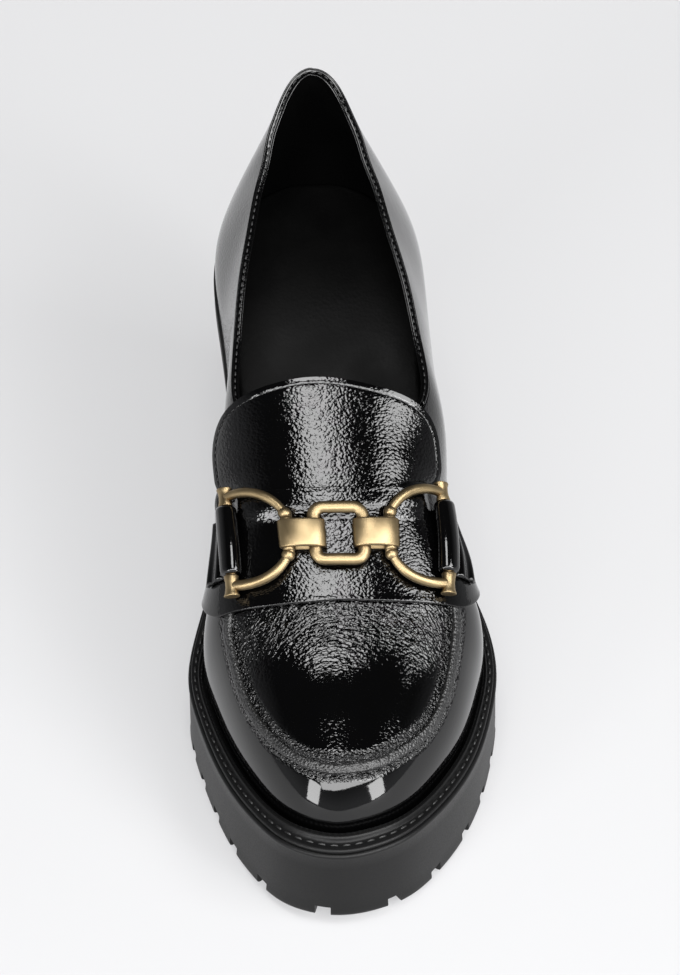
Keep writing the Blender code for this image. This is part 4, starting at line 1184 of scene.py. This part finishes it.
def make_keeper(name, side):
    """Leather loop round the ring's outer bar, its two layers gathered into folds below the bar."""
    outer = KEEPER_BORE + KEEPER_WALL
    floor = SADDLE_LIFT + SADDLE_THICKNESS + GAP - BIT_HEIGHT
    roll = np.radians(np.arange(-12.0, 226.0, 7.0))
    section = [(RING_BAR + outer * math.cos(t), outer * math.sin(t)) for t in roll]
    section += [(RING_BAR + 1.0, floor + 0.35)]
    under = np.linspace(KEEPER_UNDER_START, KEEPER_TAIL, 12)
    section += [(RING_BAR + a, floor) for a in under]
    for a in np.linspace(KEEPER_TAIL, KEEPER_OVER_END, 48):
        fold = 0.55 + 0.5 * math.cos(2.0 * math.pi * (a - KEEPER_FOLD_START) / KEEPER_FOLD_PITCH)
        ease = float(smooth_step(3.4, 5.4, a)) * float(1.0 - 0.7 * smooth_step(10.5, 13.0, a))
        section.append((RING_BAR + a, floor + KEEPER_WALL + fold * ease))
    section = np.array(section)
    ups = np.linspace(-KEEPER_HALF_WIDTH, KEEPER_HALF_WIDTH, 37)
    grid = np.zeros((len(ups), len(section), 3))
    tail = (section[:, 0] > RING_BAR + 3.0) | (section[:, 1] < -outer)
    for i, up in enumerate(ups):
        drift = 0.35 * math.sin(up * 0.21 + side)
        round_end = 1.0 - 0.12 * float(smooth_step(KEEPER_HALF_WIDTH - 0.9, KEEPER_HALF_WIDTH, abs(up)))
        grid[i, :, 0] = side * (RING_BAR + np.where(tail, section[:, 0] - RING_BAR + drift,
                                                    (section[:, 0] - RING_BAR) * round_end))
        grid[i, :, 1] = up
        grid[i, :, 2] = section[:, 1] * np.where(tail, 1.0, round_end) - np.where(tail, BIT_TILT * up, 0.0)
    add_loft("leather_" + name, on_saddle(grid), LEATHER, 0.1, [name])


# Sole, welt, heel and insole


def sole_bottom(along):
    """Height of the sole's underside: toe spring, flat tread at the ball, then the rising waist."""
    spring = TOE_SPRING * np.clip((BALL_FRONT - along) / BALL_FRONT, 0.0, 1.0) ** 2
    waist = feather_z(along) - GAP - WAIST_THICKNESS
    return spring + waist * smooth_step(BALL_BACK, WAIST_START, along)


def notch_cutter(name, line, tip, arcs, bottom):
    """Blocks across an edge line at arcs from its tip, to cut the gaps between lugs."""
    travel = arc_length(line)
    travel -= travel[tip]
    bm = bmesh.new()
    for arc in arcs:
        here, ahead = [Vector((*spot, 0.0)) for spot in read_line((arc, arc + 0.5), travel, line)]
        tangent = (ahead - here).normalized()
        inward = Vector((-tangent.y, tangent.x, 0.0))
        basis = Matrix((tangent, inward, Vector((0.0, 0.0, 1.0)))).transposed().to_4x4()
        centre = here + inward * (LUG_NOTCH_INWARD - LUG_NOTCH_OUTWARD) / 2.0
        centre.z = float(bottom(here.y))
        size = Matrix.Diagonal((LUG_NOTCH_WIDTH, LUG_NOTCH_INWARD + LUG_NOTCH_OUTWARD, 2.0 * LUG_DEPTH, 1.0))
        in_shoe = Matrix.Translation(centre) @ basis @ size
        place = Matrix.Translation(Vector(SHIFT)) @ Matrix.Scale(MM, 4) @ in_shoe
        bmesh.ops.create_cube(bm, size=1.0, matrix=place)
    mesh = bpy.data.meshes.new(name)
    bm.to_mesh(mesh)
    bm.free()
    cutter = bpy.data.objects.new(name, mesh)
    cutter.hide_render = True
    cutter.display_type = "WIRE"
    bpy.context.scene.collection.objects.link(cutter)
    return cutter


def cut_notches(piece, name, line, tip, arcs, bottom):
    """Cut the gaps between a piece's lugs."""
    cutter = notch_cutter(name, line, tip, arcs, bottom)
    add_modifier(piece, "BOOLEAN", operation="DIFFERENCE", object=cutter, solver="EXACT")
    apply_modifiers(piece)
    bpy.data.objects.remove(cutter)


def loop_at(offset, height, count=520):
    """Closed loop of points round the sole at an offset from the feather line and a height over along."""
    loop = Outline(offset).loop
    loop = resample(np.concatenate([loop, loop[:1]]), arc_length(loop)[-1] / count)[:count]
    return np.concatenate([loop, np.asarray(height(loop[:, 1]), float)[:, None]], axis=1)


def tread_depth(along, across):
    """Depth of the grooves under the forefoot: slanted bars either side of a wavy middle channel."""
    side = np.sign(across)
    slant = along + side * across * TREAD_SLANT
    bars = smooth_step(0.62, 0.78, np.abs(((slant / TREAD_PITCH) % 1.0) * 2.0 - 1.0))
    middle = 1.0 - smooth_step(1.6, 2.6, np.abs(across - 3.0 - 2.0 * np.sin(along * 0.12)))
    ring = smooth_step(12.0, 30.0, along) * (1.0 - smooth_step(112.0, 122.0, along))
    return TREAD_DEPTH * np.maximum(bars, middle) * ring


# Rows of the sole's side wall: offset from its edge, and height under its top or over its underside
SOLE_TOP_ROWS = [(-1.3, 0.0), (-0.75, 0.05), (-0.3, 0.25), (-0.05, 0.6), (0.0, 1.0), (-0.05, 1.5),
                 (-0.3, 2.0)]
SOLE_BOTTOM_ROWS = [(-0.3, 3.0), (-0.15, 1.5), (-0.25, 0.7), (-0.6, 0.2), (-1.2, 0.0)]
SOLE_WALL_SHARES = (0.2, 0.4, 0.6, 0.8)
TOP_BARS = 2
TREAD_BARS = 60


def sole_row(offset, under, over, share):
    """Row round the sole between a distance under its top, share 0, and one over its underside, share 1."""
    def height(along):
        top = feather_z(along) - GAP - under
        return top * (1.0 - share) + (sole_bottom(along) + over) * share

    return loop_at(lambda along: welt_width(along) + offset, height)


def make_outsole():
    loops = [sole_row(offset, drop, 0.0, 0.0) for offset, drop in SOLE_TOP_ROWS]
    wall, drop = SOLE_TOP_ROWS[-1]
    lift = SOLE_BOTTOM_ROWS[0][1]
    loops += [sole_row(wall, drop, lift, share) for share in SOLE_WALL_SHARES]
    loops += [sole_row(offset, 0.0, over, 1.0) for offset, over in SOLE_BOTTOM_ROWS]
    count = loops[0].shape[0]
    half = count // 2
    grid = np.array(loops)
    mesh = grid_mesh("outsole_rubber", grid, across=True, grain=0.0)
    bm = bmesh.new()
    bm.from_mesh(mesh)
    bm.verts.ensure_lookup_table()
    rings = [[bm.verts[row * count + j] for j in range(count)] for row in (0, len(loops) - 1)]
    fill_ring(bm, rings[0], half, TOP_BARS, False)
    fill_ring(bm, rings[1], half, TREAD_BARS, True)
    bmesh.ops.recalc_face_normals(bm, faces=bm.faces)
    bm.to_mesh(mesh)
    bm.free()
    piece = link("outsole_rubber", mesh, RUBBER, ["outsole"])
    edge = Outline(welt_width)
    line = np.concatenate([edge.sides[-1][::-1], edge.sides[1][1:]])
    cut_notches(piece, "sole_notch_cutter", line, len(edge.sides[-1]) - 1, LUG_NOTCH_ARCS, sole_bottom)


def fill_ring(bm, ring, half, columns, tread):
    """Fill a closed loop of vertices with bars across the shoe; under the sole they carry the tread."""
    rows = []
    for j in range(half + 1):
        left = ring[j]
        right = ring[-j % len(ring)]
        if left is right:
            rows.append([left] * (columns + 1))
            continue
        row = [left]
        for k in range(1, columns):
            place = left.co.lerp(right.co, k / columns)
            if tread:
                spot = (np.array(place) - SHIFT) / MM
                inner = float(smooth_step(0.0, 3.0, min(k, columns - k)))
                place.z = (float(sole_bottom(spot[1])) + inner * float(tread_depth(spot[1], spot[0]))) * MM
            row.append(bm.verts.new(place))
        rows.append(row + [right])
    for near, far in zip(rows, rows[1:]):
        for k in range(columns):
            corners = list(dict.fromkeys((near[k], near[k + 1], far[k + 1], far[k])))
            if len(corners) > 2:
                bm.faces.new(corners)


def apply_modifiers(piece):
    view = bpy.context.evaluated_depsgraph_get()
    mesh = bpy.data.meshes.new_from_object(piece.evaluated_get(view))
    piece.modifiers.clear()
    piece.data = mesh
    mesh.shade_smooth()
    mesh.set_sharp_from_angle(angle=SHARP_ANGLE)


def make_welt():
    """Moulded strip on the sole's edge: a serrated seat, a ridge and a groove with thread in it."""
    lateral, medial = [points[points[:, 1] < WELT_END] for points in (FEATHER.sides[1], FEATHER.sides[-1])]
    line = resample(np.concatenate([lateral[::-1], medial[1:]]), 0.45)
    tangent = unit(np.gradient(line, axis=0))
    normal = np.stack([-tangent[:, 1], tangent[:, 0]], axis=1)
    travel = arc_length(line)
    width = welt_width(line[:, 1]) - WELT_MARGIN - WELT_INSET
    tick = 0.5 + 0.5 * np.cos(2.0 * math.pi * travel / WELT_TICK_PITCH)
    grid = []
    for row in WELT:
        plan = line + normal * (WELT_INSET + row.outward * width)[:, None]
        dent = WELT_TICK_DEPTH * tick * bump(row.outward, 0.12, 0.07)
        grid.append(np.stack([plan[:, 0], plan[:, 1], feather_z(plan[:, 1]) + row.height - dent], axis=1))
    grid = np.array(grid).transpose(1, 0, 2)
    add_loft("welt_rubber", grid, RUBBER, 0.0, ["welt"])
    plan = line + normal * (WELT_INSET + WELT_THREAD_SHARE * width)[:, None]
    height = feather_z(plan[:, 1]) + WELT_THREAD_HEIGHT
    thread_line = np.stack([plan[:, 0], plan[:, 1], height], axis=1)
    upward = np.broadcast_to((0.0, 0.0, 1.0), thread_line.shape)
    stitch_row("welt_thread", thread_line, upward, *WELT_STITCH)


def heel_loop(scale, height):
    """Section of the heel: a slightly hollow breast with rounded corners, then round the back."""
    outline = Outline(even(HEEL_MARGIN))
    lateral, medial = [points[points[:, 1] > HEEL_BREAST + HEEL_ROUNDING]
                       for points in (outline.sides[1], outline.sides[-1])]
    breast = np.linspace(1.0, -1.0, 25)
    corner = {side: abs(outline.x(HEEL_BREAST, side)) for side in (1, -1)}
    front = []
    for share in breast:
        side = 1 if share >= 0.0 else -1
        reach = corner[side] - HEEL_ROUNDING * 0.4
        dip = HEEL_BREAST_DIP * (1.0 - share ** 2)
        front.append((share * reach, HEEL_BREAST + dip))
    loop = np.concatenate([lateral, medial[::-1], np.array(front)[::-1]])
    loop = resample(np.concatenate([loop, loop[:1]]), 0.9)[:-1]
    loop = resample(np.concatenate([loop, loop[:1]]), arc_length(loop)[-1] / HEEL_POINTS)[:HEEL_POINTS]
    centre = np.array([0.0, HEEL_CENTRE])
    level = np.asarray(height(loop[:, 1]), float)
    loop = centre + (loop - centre) * scale
    return np.concatenate([loop, level[:, None]], axis=1)


def make_heel():
    foot = LIFT_HEIGHT + GAP
    scale_at = natural_spline([row.height_share for row in HEEL], [row.scale for row in HEEL])
    loops = []
    for share in np.linspace(0.0, 1.0, 31):
        loops.append(heel_loop(float(scale_at(share)),
                               lambda a, s=share: foot + (sole_bottom(a) - GAP - foot) * s))
    piece = add_loft("heel_cover", np.array(loops), LEATHER, 0.1, ["heel"])
    round_edges(piece, HEEL_EDGE, 60.0)


# Rows of the lift: height and size against the heel's foot
LIFT_ROWS = [(0.0, 0.985), (0.4, 1.0), (LIFT_HEIGHT - 0.4, 1.0), (LIFT_HEIGHT, 0.985)]


def make_heel_lift():
    scale = HEEL[0].scale
    loops = [heel_loop(scale * share, even(height)) for height, share in LIFT_ROWS]
    piece = add_loft("lift_rubber", np.array(loops), RUBBER, 0.0, ["heel_lift"])
    outline = Outline(even(HEEL_MARGIN))
    line = np.concatenate([outline.sides[1], outline.sides[-1][-2::-1]])
    centre = np.array([0.0, HEEL_CENTRE])
    line = centre + (line - centre) * scale
    cut_notches(piece, "lift_notch_cutter", line, len(outline.sides[1]) - 1, LIFT_NOTCH_ARCS, even(0.0))


def make_insole():
    """Padded sock: level at the ball, cupped a little round the heel, with a rounded margin."""
    edge = Outline(even(-UPPER_WALL - 2.0 * GAP))
    shares = np.linspace(-1.0, 1.0, 61)
    ends = (1.0 - np.cos(np.linspace(0.0, math.pi, 161))) / 2.0
    rows = []
    for along in edge.front + 0.4 + (edge.back - edge.front - 0.8) * ends:
        lateral = float(edge.x(along, 1))
        medial = float(edge.x(along, -1))
        x = (lateral + medial) / 2.0 + (lateral - medial) / 2.0 * np.sin(shares * math.pi / 2.0)
        room = np.minimum(np.minimum(lateral - x, x - medial), min(along - edge.front, edge.back - along))
        cup = INSOLE_CUP * smooth_step(*INSOLE_CUP_START, along) * np.exp(-room / 9.0)
        pad = INSOLE_THICKNESS - np.exp(-room / 0.5) + cup
        rows.append(np.stack([x, np.full_like(x, along), feather_z(along) + pad], axis=1))
    mesh = grid_mesh("insole_sock", np.array(rows)[:, ::-1], grain=0.0)
    piece = link("insole_sock", mesh, LINING, ["insole"])
    add_modifier(piece, "SOLIDIFY", thickness=INSOLE_SHEET * MM, offset=-1.0)


# Floor, light and camera

CAMERA_ELEVATION = math.radians(46.4)
CAMERA_AZIMUTH = math.radians(1.37)
CAMERA_ROLL = math.radians(0.65)
CAMERA_DISTANCE = 2400.0
CAMERA_STAND = (0.0, 110.0, 65.0)
CAMERA_AIM = (4.0, 15.3)
CAMERA_RANGE = 50.0
PHOTO_FOCAL = 2.1421
PHOTO_HEIGHT = 975.0
ZOOM = 1.45
SENSOR = 36.0
FLOOR_REACH = 6.0
FLOOR_DROP = 0.0002
FLOOR_GLOW = (0.985, 0.985, 1.0, 1.0)
FLOOR_GLOW_STRENGTH = 0.42
SKY_COLOUR = (0.96, 0.97, 1.0, 1.0)
SKY_FADE = {"From Min": 0.1, "From Max": 0.7, "To Min": 0.42, "To Max": 0.03}

# Area lights in metres and watts
LightRow = namedtuple("LightRow", "name place target size power")
LIGHTS = [LightRow(*row) for row in (
    ("overhead", (-0.085, -0.37, 1.6), (-0.085, -0.37, 0.0), (0.47, 0.70), 10.5),
    ("right", (1.05, -0.68, 1.42), (0.0, 0.0, 0.05), (0.95, 0.75), 22.0),
    ("front", (0.2, -2.0, 1.9), (0.0, -0.08, 0.05), (3.4, 0.95), 90.0),
    ("front_left", (-1.25, -1.5, 0.62), (0.0, -0.1, 0.05), (0.5, 1.1), 19.0),
    ("front_right", (1.35, -1.5, 0.5), (0.0, -0.1, 0.05), (0.5, 0.9), 16.0),
)]


def add_camera():
    forward = Vector((math.sin(CAMERA_AZIMUTH) * math.cos(CAMERA_ELEVATION),
                      math.cos(CAMERA_AZIMUTH) * math.cos(CAMERA_ELEVATION), -math.sin(CAMERA_ELEVATION)))
    right = Vector((math.cos(CAMERA_AZIMUTH), -math.sin(CAMERA_AZIMUTH), 0.0))
    up = right.cross(forward)
    stand = Vector(to_world(CAMERA_STAND)) - forward * CAMERA_DISTANCE * MM
    roll = Matrix.Rotation(CAMERA_ROLL, 3, forward)
    right = roll @ right
    up = roll @ up
    aim = Vector(to_world(CAMERA_STAND)) + (right * CAMERA_AIM[0] + up * CAMERA_AIM[1]) * MM
    forward = (aim - stand).normalized()
    right = forward.cross(up).normalized()
    up = right.cross(forward)
    data = bpy.data.cameras.new("camera")
    data.sensor_width = SENSOR
    data.lens = PHOTO_FOCAL * CAMERA_DISTANCE * ZOOM / PHOTO_HEIGHT * SENSOR
    data.clip_end = CAMERA_RANGE
    camera = bpy.data.objects.new("camera", data)
    camera.matrix_world = Matrix((right, up, -forward)).transposed().to_4x4()
    camera.location = stand
    bpy.context.scene.collection.objects.link(camera)
    bpy.context.scene.camera = camera


def add_floor():
    mesh = bpy.data.meshes.new("floor")
    bm = bmesh.new()
    bmesh.ops.create_grid(bm, x_segments=1, y_segments=1, size=FLOOR_REACH)
    bm.to_mesh(mesh)
    bm.free()
    g = Graph("pale_floor")
    cloud = g.noise(3.0)
    tint = g.colour(cloud, (0.265, 0.265, 0.268), (0.275, 0.275, 0.278))
    mesh.materials.append(g.finish(Base_Color=tint, Roughness=0.8, Emission_Color=FLOOR_GLOW,
                                   Emission_Strength=FLOOR_GLOW_STRENGTH))
    floor = bpy.data.objects.new("floor", mesh)
    floor.location.z = -FLOOR_DROP
    bpy.context.scene.collection.objects.link(floor)


def add_area(row):
    data = bpy.data.lights.new(row.name, "AREA")
    data.shape = "RECTANGLE"
    data.size, data.size_y = row.size
    data.energy = row.power
    light = bpy.data.objects.new(row.name, data)
    light.location = row.place
    light.rotation_euler = (Vector(row.target) - Vector(row.place)).to_track_quat("-Z", "Y").to_euler()
    bpy.context.scene.collection.objects.link(light)


def add_lights():
    world = bpy.data.worlds.new("studio")
    world.use_nodes = True
    bpy.context.scene.world = world
    nodes = world.node_tree.nodes
    links = world.node_tree.links
    place = nodes.new("ShaderNodeTexCoord")
    split = nodes.new("ShaderNodeSeparateXYZ")
    links.new(place.outputs["Generated"], split.inputs[0])
    fade = nodes.new("ShaderNodeMapRange")
    for name, value in SKY_FADE.items():
        fade.inputs[name].default_value = value
    links.new(split.outputs["Z"], fade.inputs["Value"])
    links.new(fade.outputs["Result"], nodes["Background"].inputs["Strength"])
    nodes["Background"].inputs["Color"].default_value = SKY_COLOUR
    for row in LIGHTS:
        add_area(row)


def main():
    points, spots = make_upper()
    make_collar(points, spots)
    make_tongue()
    make_saddle()
    for name, side in (("lateral", 1), ("medial", -1)):
        make_keeper("keeper_" + name, side)
        make_ring("ring_" + name, side)
        make_link_band("link_" + name, side)
    make_link_square()
    make_outsole()
    make_welt()
    make_heel()
    make_heel_lift()
    make_insole()
    add_floor()
    add_lights()
    add_camera()
    bpy.context.scene.view_settings.view_transform = "Standard"


main()
